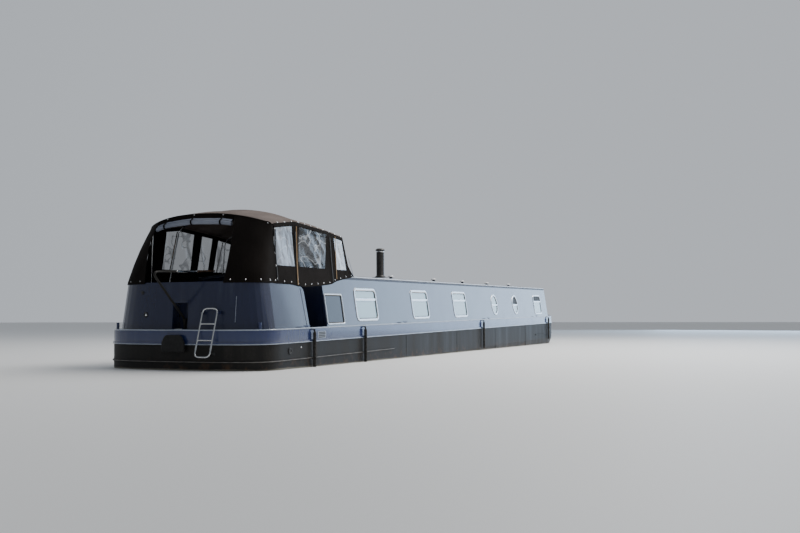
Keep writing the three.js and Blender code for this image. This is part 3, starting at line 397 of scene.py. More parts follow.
# Mesh helpers
def piece(name, points, faces, look, body="boat", slot=None, smooth=True, angle=0.6):
    mesh = bpy.data.meshes.new(name)
    mesh.from_pydata([tuple(p) for p in points], [], faces)
    mesh.materials.append((LOOKS[look] if isinstance(look, str) else look).material)
    for polygon in mesh.polygons:
        polygon.use_smooth = smooth
    obj = show(name, mesh)
    if smooth:
        mesh.set_sharp_from_angle(angle=angle)
    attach(obj, body)
    if slot or isinstance(look, str):
        slot or look
    return obj


BOX_FACES = ((0, 2, 3, 1), (4, 5, 7, 6), (0, 1, 5, 4), (2, 6, 7, 3), (0, 4, 6, 2), (1, 3, 7, 5))


def circle(sides):
    """Cosine and sine of even steps round a circle."""
    turns = [2 * math.pi * k / sides for k in range(sides)]
    return [(math.cos(a), math.sin(a)) for a in turns]


class Soup:
    """Collects many small closed forms into one mesh."""

    def __init__(self):
        self.points, self.faces = [], []

    def add(self, points, faces, keep=True):
        """Adds a form, its faces as they are or turned over."""
        first = len(self.points)
        self.points += [Vector(p) for p in points]
        for face in faces:
            self.faces.append(tuple(first + i for i in (face if keep else face[::-1])))

    def box(self, low, high):
        x, y, z = zip(low, high)
        self.add([(x[i & 1], y[i >> 1 & 1], z[i >> 2]) for i in range(8)], BOX_FACES)

    def rings(self, rings, joined=False, keep=True):
        """Skins rings of points; the last is joined to the first, or else both ends are closed."""
        rows, count = len(rings), len(rings[0])
        faces = []
        for r in range(rows if joined else rows - 1):
            after = (r + 1) % rows
            for k in range(count):
                m = (k + 1) % count
                faces.append((r * count + k, r * count + m, after * count + m, after * count + k))
        if not joined:
            faces += [tuple(range(count))[::-1], tuple((rows - 1) * count + k for k in range(count))]
        self.add([p for ring in rings for p in ring], faces, keep)

    def sweep(self, line, section):
        """A section, given as offsets across and up, run along a line of points."""
        rings = []
        up = Vector((0, 0, 1))
        last = len(line) - 1
        for i, p in enumerate(line):
            ahead = (line[min(i + 1, last)] - line[max(i - 1, 0)]).normalized()
            if abs(ahead.dot(up)) > 0.95:
                up = Vector((1, 0, 0))
            across = ahead.cross(up).normalized()
            up = across.cross(ahead).normalized()
            rings.append([p + across * a + up * b for a, b in section])
        self.rings(rings)

    def tube(self, line, radius, sides=12):
        self.sweep(line, [(radius * c, radius * s) for c, s in circle(sides)])

    def lathe(self, centre, axis, profile, sides=20):
        """A profile of distance from and along the axis, turned about it."""
        axis = Vector(axis).normalized()
        side = axis.orthogonal().normalized()
        other = axis.cross(side)
        spokes = [side * c + other * s for c, s in circle(sides)]
        rings = []
        for radius, rise in profile:
            rings.append([Vector(centre) + axis * rise + spoke * radius for spoke in spokes])
        self.rings(rings)

    def done(self, name, look, body="boat", slot=None, angle=0.6):
        return piece(name, self.points, self.faces, look, body, slot, True, angle)


def rounded_line(corners, radius, steps):
    """Straight stretches between corners, each corner an arc-like curve."""
    line = [Vector(corners[0])]
    for before, p, after in zip(corners, corners[1:], corners[2:]):
        a = p + (before - p).normalized() * min(radius, (before - p).length / 2)
        b = p + (after - p).normalized() * min(radius, (after - p).length / 2)
        for k in range(steps + 1):
            t = k / steps
            line.append(a * (1 - t) ** 2 + p * 2 * t * (1 - t) + b * t ** 2)
    return line + [Vector(corners[-1])]


# Stage
SKY_AFT = 0.27                  # strength of the sky behind the stern and ahead of the bow
SKY_FORE = 0.66
FLOOR_HALF = 240.0


def make_stage():
    _, _, up = water_axes()
    mesh = bpy.data.meshes.new("floor")
    corners = [(x * FLOOR_HALF, y * FLOOR_HALF) for x, y in ((-1, -1), (1, -1), (1, 1), (-1, 1))]
    base = at(0, 0, WATER_Z)
    mesh.from_pydata([(x, y, base.z - (x - base.x) * up.x / up.z) for x, y in corners], [], [(0, 1, 2, 3)])
    floor = show("floor", mesh)
    look = Look("floor", (0.80, 0.80, 0.79), 0.6)
    mesh.materials.append(look.material)
    world = bpy.data.worlds.new("studio")
    world.use_nodes = True
    tree = world.node_tree
    sky = tree.nodes["Background"]
    sky.inputs["Color"].default_value = (0.80, 0.85, 0.92, 1)
    place = tree.nodes.new("ShaderNodeTexCoord")
    ahead = tree.nodes.new("ShaderNodeVectorMath")
    ahead.operation = "DOT_PRODUCT"
    ahead.inputs[1].default_value = (1, 0, 0)
    tree.links.new(place.outputs["Generated"], ahead.inputs[0])
    light = tree.nodes.new("ShaderNodeMapRange")
    for socket, value in (("From Min", -0.6), ("From Max", 0.8), ("To Min", SKY_AFT), ("To Max", SKY_FORE)):
        light.inputs[socket].default_value = value
    tree.links.new(ahead.outputs["Value"], light.inputs["Value"])
    tree.links.new(light.outputs["Result"], sky.inputs["Strength"])
    bpy.context.scene.world = world


def make_light(name, place, target, size, power, colour):
    data = bpy.data.lights.new(name, "AREA")
    data.shape = "RECTANGLE"
    data.size, data.size_y = size
    data.energy = power
    data.color = colour
    lamp = show(name, data)
    direction = Vector(target) - Vector(place)
    lamp.matrix_world = Matrix.Translation(place) @ direction.to_track_quat("-Z", "Y").to_matrix().to_4x4()


make_camera()
make_stage()
make_light("sky_side", (43.9, -13.3, 9.0), (6.4, -1, 1), (30, 20), 5000, (0.54, 0.74, 1.0))
make_light("overhead", (3, -7, 17), (-1, 0, 1), (22, 9), 5200, (1, 0.98, 0.95))


# Carried-over solids: the same form, with its edges rounded and its curves smooth
SLOTS = {row["node"]: row["material_slot"] for row in frame["record"]["subparts"]}
BODY_OF = {node: body for body, members in frame["record"]["behaviour"]["bodies"].items() for node in members}


def skin(name, suffix, look, flat, bevel, segments):
    """The node's own mesh, cleaned, smooth and with rounded edges, in place of the node."""
    work = bmesh.new()
    work.from_mesh(nodes[name].data)
    bmesh.ops.remove_doubles(work, verts=work.verts, dist=2e-5)
    bmesh.ops.dissolve_limit(work, angle_limit=flat, verts=work.verts, edges=work.edges)
    mesh = bpy.data.meshes.new(name + suffix)
    work.to_mesh(mesh)
    work.free()
    mesh.materials.clear()
    mesh.materials.append(look.material)
    for polygon in mesh.polygons:
        polygon.use_smooth = True
    obj = show(name + suffix, mesh)
    rounded = obj.modifiers.new("rounded", "BEVEL")
    rounded.width = bevel
    rounded.segments = segments
    rounded.limit_method = "ANGLE"
    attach(obj, BODY_OF[name])
    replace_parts(obj, name)
    return obj, rounded


EDGE_ANGLE = 0.5                 # a sharper turn between faces is an edge


def refine(name, bevel):
    obj, rounded = skin(name, "_skin", LOOKS[SLOTS[name]], 0.004, bevel, 2)
    obj.data.set_sharp_from_angle(angle=EDGE_ANGLE)
    rounded.angle_limit = EDGE_ANGLE
    rounded.harden_normals = True
    weighted = obj.modifiers.new("weighted", "WEIGHTED_NORMAL")
    weighted.keep_sharp = True


BUILT_HERE = {"hood", "tiller", "boarding_ladder", "stern_fender", "bow_fender", "chimney"}
BUILT_HERE |= {name for name in nodes if name.startswith(("window_", "porthole_", "fender_", "hoop_"))}
BEVELS = {
    "hull": 0.006, "gunwale_band": 0.012, "guard_rail": 0.009, "stern_bulwark": 0.008, "cabin_roof": 0.008,
}
for node_name in nodes:
    if node_name not in BUILT_HERE:
        refine(node_name, BEVELS.get(node_name, 0.003))


# Windows: name, station of the middle, sill above the gunwale, width, height, corner radius
WINDOWS = [
    ("window_1", -0.960, 0.046, 0.700, 0.544, 0.030),
    ("window_2", 0.465, 0.103, 0.980, 0.590, 0.090),
    ("window_3", 3.385, 0.103, 0.980, 0.590, 0.090),
    ("window_4", 6.149, 0.103, 0.980, 0.590, 0.090),
    ("porthole_1", 9.156, 0.126, 0.528, 0.528, 0.264),
    ("porthole_2", 11.295, 0.126, 0.528, 0.528, 0.264),
    ("window_5", 13.990, 0.103, 0.880, 0.575, 0.090),
]
FLANGE = 0.030
HOPPER_SHARE = 0.32              # of the opening's height, above the thick bar
OPEN_HOPPERS = ("porthole_2", "window_5")  # the upper light stands open, dark inside
BAR_INSET = 0.030                # from the opening's edge to the bar's end
GLASS_INSET = 0.025
GLASS_FACES = (-0.008, -0.014)   # out of the wall
SEAL_SECTION = [(-0.018, 0.004), (-0.030, 0.001), (-0.031, -0.008), (-0.018, -0.008)]


def rounded_rectangle(width, height, corner, steps=8):
    """Corner arcs joined by straight sides, anticlockwise, round its own middle."""
    w, h = width / 2, height / 2
    r = min(corner, w, h)
    points = []
    for cx, cz, start in ((w - r, h - r, 0), (r - w, h - r, 90), (r - w, r - h, 180), (w - r, r - h, 270)):
        for k in range(steps + 1):
            a = math.radians(start + 90 * k / steps)
            points.append((cx + r * math.cos(a), cz + r * math.sin(a)))
    return points


def on_wall(station, z, out, hand):
    """A point near the cabin side, out of its face by a distance."""
    return at(station, hand * (cabin_y(z) + out), z)


def wall_ring(soup, station, z, width, height, corner, section, hand):
    """Runs a section, given as (grow, out) pairs, round a rounded rectangle on the cabin side."""
    rings = []
    for grow, out in section:
        ring = rounded_rectangle(width + 2 * grow, height + 2 * grow, max(corner + grow, 0.004))
        rings.append([on_wall(station + dx, z + dz, out, hand) for dx, dz in ring])
    soup.rings(rings, joined=True, keep=hand < 0)


def wall_bar(soup, station, reach, heights, outs, hand):
    """A bar that reaches as far to both sides of a station."""
    corners = [on_wall(station + dx, z, out, hand) for out in outs for z in heights for dx in (-reach, reach)]
    soup.add(corners, BOX_FACES, keep=hand < 0)


def make_window(name, station, sill, width, height, corner, hand, side):
    z = GUNWALE_Z + sill + height / 2
    fixed = name == "window_1"
    rim, seal, pane = Soup(), Soup(), Soup()
    flange, lip = (0.012, -0.006) if fixed else (FLANGE, -0.012)
    wall_ring(rim, station, z, width, height, corner, [
        (flange, 0.001), (flange - 0.002, 0.009), (flange - 0.008, 0.012), (lip, 0.012), (lip - 0.008, 0.006),
        (-0.022, -0.026), (-0.002, -0.030), (-0.002, -0.002), (flange - 0.006, 0.0006),
    ], hand)
    wall_ring(seal, station, z, width, height, corner, SEAL_SECTION, hand)
    # the bar is at the middle of a porthole and higher up in a window
    split = z if corner > 0.2 else z + height / 2 - HOPPER_SHARE * height
    if not fixed:
        reach = width / 2 - BAR_INSET
        wall_bar(rim, station, reach, (split - 0.020, split + 0.016), (-0.004, 0.010), hand)
        wall_bar(rim, station, reach - 0.02, (split - 0.032, split - 0.020), (-0.004, 0.003), hand)
        wall_bar(seal, station + 0.02, 0.03, (split + 0.016, split + 0.024), (-0.02, 0.004), hand)
    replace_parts(rim.done(f"{name}_{side}_frame", "window_frame", angle=0.7), f"{name}_{side}")
    seal.done(f"{name}_{side}_seal", LOOKS["rubber"], angle=0.7)
    across, up = width - 2 * GLASS_INSET, height - 2 * GLASS_INSET
    shape = rounded_rectangle(across, up, max(corner - GLASS_INSET, 0.004))
    # an open hopper gets a flat dark sheet just inside the wall: painted shade of the room behind
    if name in OPEN_HOPPERS:
        gap = [on_wall(station + dx, max(z + dz, split + 0.014), -0.004, hand) for dx, dz in shape]
        face = tuple(range(len(gap)))[::-hand]
        piece(f"{name}_{side}_open_hopper_shade", gap, [face], "rubber", smooth=False)
    rings = [[on_wall(station + dx, z + dz, out, hand) for dx, dz in shape] for out in GLASS_FACES]
    pane.rings(rings, keep=hand > 0)
    tint = DARK_GLASS if fixed else LOOKS["window_glass"]
    piece(f"{name}_{side}_glass", pane.points, pane.faces, tint, slot="window_glass", smooth=False)


for row in WINDOWS:
    make_window(*row, -1, "starboard")
    make_window(*row, 1, "port")


def roof_z(y):
    half = cabin_y(EAVES_Z)
    return EAVES_Z + CAMBER * (1 - (y / half) ** 2)


# Hood: canvas walls and roof, flexible windows, a rolled-up stern panel and its small parts
SHOULDER_HALF = 1.156
EAVE_HALF = 1.236
EDGE_ROLL = 0.095                # height of the rounded shoulder over the eave
HOOD_LOW = 2.078
HOOD_WAIST = 2.5
# station, height of the eave, height of the crown
HOOD_LINE = [
    (-3.3, 3.0, 3.255), (-2.85, 3.03, 3.345), (-2.11, 3.116, 3.44), (-0.9, 3.035, 3.37), (-0.29, 2.96, 3.24),
]
# lower edge of the side: station, height
SKIRT = [
    (-3.0, 2.078), (-2.45, 2.072), (-2.07, 2.03), (-1.34, 2.069), (-0.966, 2.1), (-0.752, 2.16),
    (0.03, 2.266),
]
# half width, aft end, start of the stern's curve, fore end, at the skirt, the waist and the eave
HOOD_RINGS = [
    (1.3631, -3.7292, -3.2, 0.03), (1.303, -3.57, -3.06, -0.16), (EAVE_HALF, -3.215, -2.85, -0.235),
]
# distance of the stern opening's edges from the middle, at the skirt, the waist and the roof
OPENING = {-1: (0.79, 0.785, 0.67), 1: (0.76, 0.86, 0.92)}
SEAM = [(HOOD_LOW, -2.975), (HOOD_WAIST, -2.945), (3.03, -2.85)]
# window panes of each side: aft and fore station at the foot, aft and fore at the head
SIDE_PANES = {
    -1: [
        (-2.918, -2.269, -2.802, -2.241), (-2.158, -1.131, -1.993, -0.911),
        (-0.692, -0.249, -0.632, -0.288),
    ],
    1: [(-2.490, -1.620, -2.470, -1.600), (-1.400, -1.040, -1.350, -0.990), (-0.850, -0.350, -0.800, -0.280)],
}
PANE_LOW = 2.375
PANE_HEAD = 0.012                # below the eave
PANE_HEIGHT = 0.66
ROOF_FRONT = -0.30
FRONT_BOW = 0.065
ROOF_EDGE = 0.060                # of the roof's lower edge over the eave
HEADER = 0.115                   # height of the strip left under the roof's aft edge


def shoulder_half(share):
    """Half width where the shoulder has turned through a share of its height over the eave."""
    return SHOULDER_HALF + (EAVE_HALF - SHOULDER_HALF) * math.sqrt(1 - share ** 2)


ROOF_HALF = shoulder_half(ROOF_EDGE / EDGE_ROLL)


def between(table, place):
    """Value of a table of (place, value) at a place, straight between its rows."""
    if place <= table[0][0]:
        return table[0][1]
    for low, high in zip(table, table[1:]):
        if place <= high[0]:
            return lerp(low[1], high[1], (place - low[0]) / (high[0] - low[0]))
    return table[-1][1]


def eave_at(station):
    return between([(row[0], row[1]) for row in HOOD_LINE], station)


def hood_top(station, y):
    crown = between([(row[0], row[2]) for row in HOOD_LINE], station)
    shoulder = eave_at(station) + EDGE_ROLL
    return crown - (crown - shoulder) * min(abs(y) / SHOULDER_HALF, 1) ** 2.2


def roof_height(station, y):
    """Top of the hood, with the quarter turn from the shoulder down to the eave."""
    if abs(y) <= SHOULDER_HALF:
        return hood_top(station, y)
    share = clamp((abs(y) - SHOULDER_HALF) / (EAVE_HALF - SHOULDER_HALF))
    return eave_at(station) + EDGE_ROLL * math.sqrt(1 - share ** 2)


def wall_head(station, z):
    """Half width of the wall where it turns in over the eave to meet the roof's edge."""
    return shoulder_half(clamp((z - eave_at(station)) / EDGE_ROLL))


def arch_station(y):
    """Aft edge of the roof, a flat ellipse in plan."""
    _, aft, start, _ = HOOD_RINGS[2]
    return start - (start - aft) * math.sqrt(max(0.0, 1 - (y / EAVE_HALF) ** 2))


def front_station(y):
    return ROOF_FRONT + FRONT_BOW * (y / EAVE_HALF) ** 2


def wall_row(z, eave_z):
    """Half width and fore end of the hood's side at a height."""
    low, waist, eave = [(ring[0], ring[3]) for ring in HOOD_RINGS]
    if z <= HOOD_WAIST:
        share = (z - HOOD_LOW) / (HOOD_WAIST - HOOD_LOW)
        return [lerp(a, b, share) for a, b in zip(low, waist)]
    share = clamp((z - HOOD_WAIST) / (eave_z - HOOD_WAIST), 0, 1.2)
    return [lerp(a, b, share) for a, b in zip(waist, eave)]


def side_point(station, z, hand, out=0.0):
    if z > eave_at(station):
        return at(station, hand * (wall_head(station, z) + out), z)
    half = max(wall_row(z, eave_at(station))[0], cabin_y(z) + 0.0155 if z < EAVES_Z else 0)
    return at(station, hand * (half + out), z)


def ripple(point, amount, scale, seed=0.0):
    """A steady wrinkle height for a point, the same each run."""
    q = Vector((point.x * scale + seed, point.y * scale, point.z * scale * 0.55))
    return amount * (noise.noise(q) + 0.5 * noise.noise(q * 2.3))


def folds(point, slant, pitch, amount, seed):
    """Sharp ridges that lean by slant, about one pitch apart, the same each run."""
    across = point.x * math.cos(slant) + point.z * math.sin(slant)
    along = point.z * math.cos(slant) - point.x * math.sin(slant)
    q = Vector((across / pitch + seed, along / (pitch * 4.5), seed))
    return amount * (1 - 3 * abs(noise.noise(q)))


def lines(*stops, step=0.09):
    """Grid lines through the stops, with even ones between."""
    found = []
    for a, b in zip(stops, stops[1:]):
        count = max(1, round(abs(b - a) / step))
        found += [lerp(a, b, k / count) for k in range(count)]
    return found + [stops[-1]]


def length_of(line):
    return sum((b - a).length for a, b in zip(line, line[1:]))


def sheet(name, surface, columns, rows, look, holes=(), slot=None,
          outward=1):
    """A cloth made on a surface(u, v), with openings where holes (u0, u1, v0, v1) say.

    Its flat size is the mean length of its rows by that of its columns.
    """
    grid = [[surface(u, v) for u in columns] for v in rows]
    width = sum(length_of(line) for line in grid) / len(grid)
    length = sum(length_of(line) for line in zip(*grid)) / len(columns)
    count = len(columns)
    faces = []
    for j in range(len(rows) - 1):
        for i in range(count - 1):
            u, v = (columns[i] + columns[i + 1]) / 2, (rows[j] + rows[j + 1]) / 2
            if any(a < u < b and c < v < d for a, b, c, d in holes):
                continue
            quad = (j * count + i, j * count + i + 1, (j + 1) * count + i + 1, (j + 1) * count + i)
            faces.append(quad if outward > 0 else quad[::-1])
    used = sorted({i for face in faces for i in face})
    new = {old: k for k, old in enumerate(used)}
    flat_points = [p for line in grid for p in line]
    obj = piece(name, [flat_points[i] for i in used], [tuple(new[i] for i in face) for face in faces], look,
                slot=slot, angle=1.2)
    area = sum(polygon.area for polygon in obj.data.polygons)
    if area > width * length:
        width *= 1.002 * area / (width * length)
    return obj


def pane_stop(hand, k, z):
    """Station of the side's k-th upright line at a height: 0 is the seam, 7 the fore edge."""
    if k == 0:
        return between(SEAM, z)
    if k == 7:
        return wall_row(z, eave_at(ROOF_FRONT))[1]
    pane = SIDE_PANES[hand][(k - 1) // 2]
    foot, head = (pane[0], pane[2]) if k % 2 else (pane[1], pane[3])
    return lerp(foot, head, clamp((z - PANE_LOW) / PANE_HEIGHT, -0.45, 1))


def side_surface(hand):
    """u counts the upright lines; v is 0 at the foot, 1 and 2 at the panes' foot and head, 4 at the roof."""
    def surface(u, v):
        k = min(int(u), 6)
        z = PANE_LOW
        for _ in range(3):
            station = lerp(pane_stop(hand, k, z), pane_stop(hand, k + 1, z), u - k)
            foot, eave = between(SKIRT, station), eave_at(station)
            heights = (foot, PANE_LOW, eave - PANE_HEAD, eave, eave + ROOF_EDGE)
            z = between(list(enumerate(heights)), v)
        p = side_point(station, z, hand)
        slack = clamp((z - 2.12) / 0.2) * clamp((eave - z) / 0.12)
        p.y += hand * (ripple(p, 0.011, 2.6) - 0.004) * slack
        return p
    return surface


def pane_surface(hand, base, first, low, crease):
    """The part of a surface that a window covers, with creases that fade at its edges."""
    def surface(u, v):
        p = base(first[0] + (first[1] - first[0]) * u, low[0] + (low[1] - low[0]) * v)
        fade = math.sqrt(clamp(16 * u * (1 - u) * v * (1 - v)))
        p.y += hand * (crease(p) * fade - 0.003)
        return p
    return surface


def soft_crease(p):
    return folds(p, 0.15, 0.16, 0.006, 2.0) + folds(p, 0.8, 0.34, 0.007, 5.0)


def sharp_crease(p):
    return folds(p, 0.75, 0.36, 0.020, 1.0) + folds(p, -0.45, 0.22, 0.006, 8.0)


PANE_KINDS = {
    -1: [("hazy", soft_crease), ("clear", sharp_crease), ("pale", soft_crease)],
    1: [("clear", sharp_crease), ("clear", soft_crease), ("clear", sharp_crease)],
}


def make_binding(name, surfaces):
    """A narrow bound edge round each window."""
    soup = Soup()
    share = lines(0, 1, step=0.05)
    for surface in surfaces:
        loop = [surface(s, 0) for s in share[:-1]] + [surface(1, s) for s in share[:-1]]
        loop += [surface(s, 1) for s in share[:0:-1]] + [surface(0, s) for s in share[:0:-1]]
        soup.tube(loop + loop[:1], 0.0045, 6)
    soup.done(name, BLACK_CLOTH, slot="hood_canvas", angle=1.0)


def make_hood_side(hand, side):
    base = side_surface(hand)
    holes = [(1, 2, 1, 2), (3, 4, 1, 2), (5, 6, 1, 2)]
    columns, rows = lines(*range(8), step=0.08), lines(*range(5), step=0.08)
    sheet(f"hood_side_{side}", base, columns, rows, "hood_canvas", holes, outward=-hand)
    panes = []
    for number, (kind, crease) in enumerate(PANE_KINDS[hand]):
        surface = pane_surface(hand, base, (2 * number + 1, 2 * number + 2), (1, 2), crease)
        sheet(f"hood_window_{side}_{number + 1}", surface, lines(0, 1, step=0.022), lines(0, 1, step=0.028),
              VINYL[kind], slot="hood_vinyl", outward=-hand)
        panes.append(surface)
    make_binding(f"hood_binding_{side}", panes)


def ring_line(level, hand):
    """The stern corner's line at the skirt, the waist or the roof, from the opening to the seam."""
    half, aft, start, _ = HOOD_RINGS[level]
    power = 2 if level == 2 else STERN_POWER
    first = math.asin((OPENING[hand][level] / half) ** (power / 2))
    line = []
    for k in range(33):
        a = lerp(first, math.pi / 2, k / 32)
        y = half * math.sin(a) ** (2 / power)
        if level == 2:
            y = min(y, ROOF_HALF)
            a = math.asin(y / half)
        station = start - (start - aft) * max(math.cos(a), 0.0) ** (2 / power)
        z = roof_height(station, y) if level == 2 else (HOOD_LOW, HOOD_WAIST)[level]
        line.append(at(station, hand * y, z))
    height, seam = SEAM[level]
    if level == 2:
        line.append(at(seam, hand * ROOF_HALF, height + ROOF_EDGE))
    else:
        line.append(at(seam, hand * half, height))
    return line


def along(line, share):
    """The point of a line at a share of its length."""
    left = length_of(line) * share
    for a, b in zip(line, line[1:]):
        step = (b - a).length
        if left <= step and step > 0:
            return a.lerp(b, left / step)
        left -= step
    return line[-1].copy()


def corner_surface(hand):
    rings = [ring_line(level, hand) for level in range(3)]

    def surface(u, v):
        low, waist, top = (along(ring, u) for ring in rings)
        middle = (waist.z - low.z) / (top.z - low.z)
        p = low * ((v - middle) * (v - 1) / middle)
        p += waist * (v * (v - 1) / (middle * (middle - 1)))
        p += top * (v * (v - middle) / (1 - middle))
        slack = clamp(v * 6) * clamp((1 - v) * 6) * clamp((1 - u) * 6)
        out = ripple(p, 0.016, 2.2, 3.0) * slack
        p.x -= out
        p.y += hand * out * 0.5
        return p
    return surface


def make_hood_corner(hand, side):
    surface = corner_surface(hand)
    slit = (0.62, 0.78, 0.14, 0.48)
    holes = [slit] if hand > 0 else []
    columns = lines(0, slit[0], slit[1], 1, step=0.04)
    rows = lines(0, slit[2], slit[3], 1, step=0.04)
    sheet(f"hood_corner_{side}", surface, columns, rows, "hood_canvas", holes, outward=hand)
    if holes:
        pane = pane_surface(hand, surface, slit[:2], slit[2:], soft_crease)
        sheet("hood_corner_window", pane, lines(0, 1, step=0.08), lines(0, 1, step=0.05), VINYL["pale"],
              slot="hood_vinyl", outward=hand)
        make_binding("hood_corner_binding", [pane])
    edge = Soup()
    edge.tube([surface(0, v) for v in lines(0, 1, step=0.04)], 0.006, 8)
    edge.done(f"hood_opening_edge_{side}", BLACK_CLOTH, slot="hood_canvas")
    return surface


def header_surface(u, v):
    y = lerp(-OPENING[-1][2], OPENING[1][2], u)
    station = arch_station(y)
    p = at(station - 0.42 * HEADER * v, y, roof_height(station, y) - HEADER * v)
    p.x -= ripple(p, 0.006, 5.0, 4.0) * v
    return p


ROLL_DROP = 0.150                # of the roll's middle under the roof's edge
ROLL_RADIUS = (0.016, 0.040)
ROLL_TURNS = 3.25
ROLLED = 0.97                    # share of the panel that is rolled up


def roll_middle(y):
    station = arch_station(y)
    dip = 0.008 * abs(math.sin((y - 0.096) * math.pi / 0.576))
    return at(station - 0.078, y, roof_height(station, y) - ROLL_DROP - dip)


def roll_surface(u, v):
    """u runs along the roll and v from the inside of its spiral to the outside, then up to the header."""
    p = roll_middle(lerp(-OPENING[-1][2] + 0.02, OPENING[1][2] - 0.02, u))
    turn = min(v, ROLLED) / ROLLED
    a = ROLL_TURNS * turn * 2 * math.pi
    radius = lerp(*ROLL_RADIUS, turn)
    p += Vector((radius * math.cos(a), 0, radius * math.sin(a)))
    swell = ripple(Vector((p.x, p.y * 2.2, p.z)), 0.004, 6.0, 9.0) * turn
    p += Vector((swell * math.cos(a), 0, swell * math.sin(a)))
    if v > ROLLED:
        p.z += 0.03
        p.x += 0.03
    return p


STRAPS = (0.688, 0.096, -0.464)


def make_roll():
    sheet("hood_rolled_panel", roll_surface, lines(0, 1, step=0.02), lines(0, ROLLED, 1, step=0.016),
          "pale_cloth")
    soup = Soup()
    studs = []
    radius = ROLL_RADIUS[1] + 0.0065
    for y in STRAPS:
        middle = roll_middle(y)
        ring = []
        for k in range(25):
            a = math.radians(100 + 15 * k)
            ring.append(middle + Vector((radius * math.cos(a), 0, radius * math.sin(a))))
        head = at(arch_station(y) - 0.012, y, roof_height(arch_station(y), y) - 0.02)
        webbing = [(-0.015, -0.001), (0.015, -0.001), (0.015, 0.001), (-0.015, 0.001)]
        soup.sweep([head, head + (ring[0] - head) * 0.6] + ring, webbing)
        studs.append((head + Vector((-0.002, 0, 0)), Vector((-1, 0, 0.1))))
    soup.done("hood_straps", BLACK_CLOTH, slot="hood_canvas")
    return studs


def make_hood_roof():
    """Crown, shoulders and valance: one sheet over all three hoops."""
    ys = [SHOULDER_HALF * (k / 24 - 1) for k in range(49)]
    turn = [lerp(SHOULDER_HALF, ROOF_HALF, k / 5) for k in range(1, 6)]
    edge = [-y for y in reversed(turn)] + ys + turn
    last = len(edge)

    def surface(u, v):
        """u counts the sheet's strips across the boat, with the valance outside the first and last."""
        k = int(u)
        y = edge[clamp(k - 1, 0, last - 1)]
        station = lerp(arch_station(y), front_station(y), v)
        z = roof_height(station, y)
        sag = 0.0
        for a, b in ((-2.9, -2.12), (-2.12, -0.6)):
            if a < station < b:
                sag = 0.014 * math.sin(math.pi * (station - a) / (b - a)) * clamp((z - eave_at(station)) * 8)
        if k in (0, last + 1):
            return at(station, y * 1.006, z - 0.014 + ripple(at(station, y, z), 0.004, 5.0, 1.0))
        p = at(station, y, z)
        p.z += ripple(p, 0.006, 1.8, 7.0) * clamp((z - eave_at(station)) * 12) - sag
        return p

    # the roof sheet takes roof_canvas, painted lighter than the sides as if sunlit
    roof = sheet("hood_roof", surface, list(range(last + 2)), lines(0, 1, step=0.02), "roof_canvas")
    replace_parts(roof, "hood")
    hem = Soup()
    line = [at(arch_station(y) - 0.003, y, roof_height(arch_station(y), y) - 0.004) for y in edge]
    hem.tube(line, 0.006, 8)
    for hand in (-1, 1):
        stations = [lerp(arch_station(ROOF_HALF), HOOD_RINGS[2][3], k / 60) for k in range(61)]
        low = [at(station, hand * (ROOF_HALF * 1.006), 0) for station in stations]
        for p in low:
            p.z = roof_height(p.x + MIDSHIP, ROOF_HALF) - 0.014
        hem.tube(low, 0.0035, 6)
    hem.done("hood_roof_hem", BLACK_CLOTH, slot="hood_canvas")


def make_hood_front():
    """The fore end, standing on the cabin's roof."""
    half_foot = HOOD_RINGS[0][0] - 0.02

    def surface(u, v):
        side = lerp(-1, 1, u)
        foot_y, head_y = side * half_foot, side * EAVE_HALF
        foot_z = max(roof_z(foot_y) + 0.004, EAVES_Z)
        head_z = roof_height(front_station(head_y), head_y)
        y, z = lerp(foot_y, head_y, v), lerp(foot_z, head_z, v)
        fold = [(0, HOOD_RINGS[0][3]), (0.3, HOOD_RINGS[1][3]), (1, front_station(head_y))]
        station = between(fold, v)
        p = at(station, y, z)
        p.x += ripple(p, 0.014, 2.2, 11.0) * clamp(v * 6) * clamp((1 - v) * 6)
        return p

    holes = [(0.12, 0.46, 0.25, 0.85), (0.54, 0.88, 0.25, 0.85)]
    columns = lines(0, 0.12, 0.46, 0.54, 0.88, 1, step=0.03)
    sheet("hood_front", surface, columns, lines(0, 0.25, 0.85, 1, step=0.04), "hood_canvas", holes)
    panes = [pane_surface(1, surface, hole[:2], hole[2:], soft_crease) for hole in holes]
    for number, pane in enumerate(panes, 1):
        sheet(f"hood_front_window_{number}", pane, lines(0, 1, step=0.05), lines(0, 1, step=0.05),
              VINYL["clear"], slot="hood_vinyl")
    make_binding("hood_front_binding", panes)


def stud(soup, place, out):
    soup.lathe(place, out, [(0.0125, -0.002), (0.0125, 0.003), (0.0100, 0.006), (0.004, 0.008)], 10)


CORNER_STUDS = (0.1, 0.34, 0.58, 0.80, 0.96)  # shares of the corner's foot
SEAM_STUDS = (3.0, 2.8, 2.585, 2.365, 2.15)
ROUND_MIDDLE = -2.9              # station that the corners' studs point away from


def make_hood_studs(corners, strap_studs):
    soup = Soup()
    for place, out in strap_studs:
        stud(soup, place, out)
    for hand, surface in corners.items():
        for share in CORNER_STUDS:
            place = surface(share, 0.045)
            stud(soup, place, Vector((place.x + MIDSHIP - ROUND_MIDDLE, place.y, 0)))
        for z in SEAM_STUDS:
            stud(soup, side_point(between(SEAM, z) + 0.02, z, hand), (0, hand, 0))
        for k in range(12):
            station = -2.72 + 0.24 * k
            stud(soup, side_point(station, between(SKIRT, station) + 0.035, hand), (0, hand, 0))
            if station < ROOF_FRONT:
                place = at(station, hand * ROOF_HALF * 1.004, roof_height(station, ROOF_HALF) + 0.004)
                stud(soup, place, (0, hand, 0.6))
        for y in (0.99, 1.09, 1.18):
            place = at(arch_station(y) - 0.006, hand * y, roof_height(arch_station(y), y) - 0.03)
            stud(soup, place, (-1, hand * 0.5, 0))
    soup.done("hood_studs", "stainless")


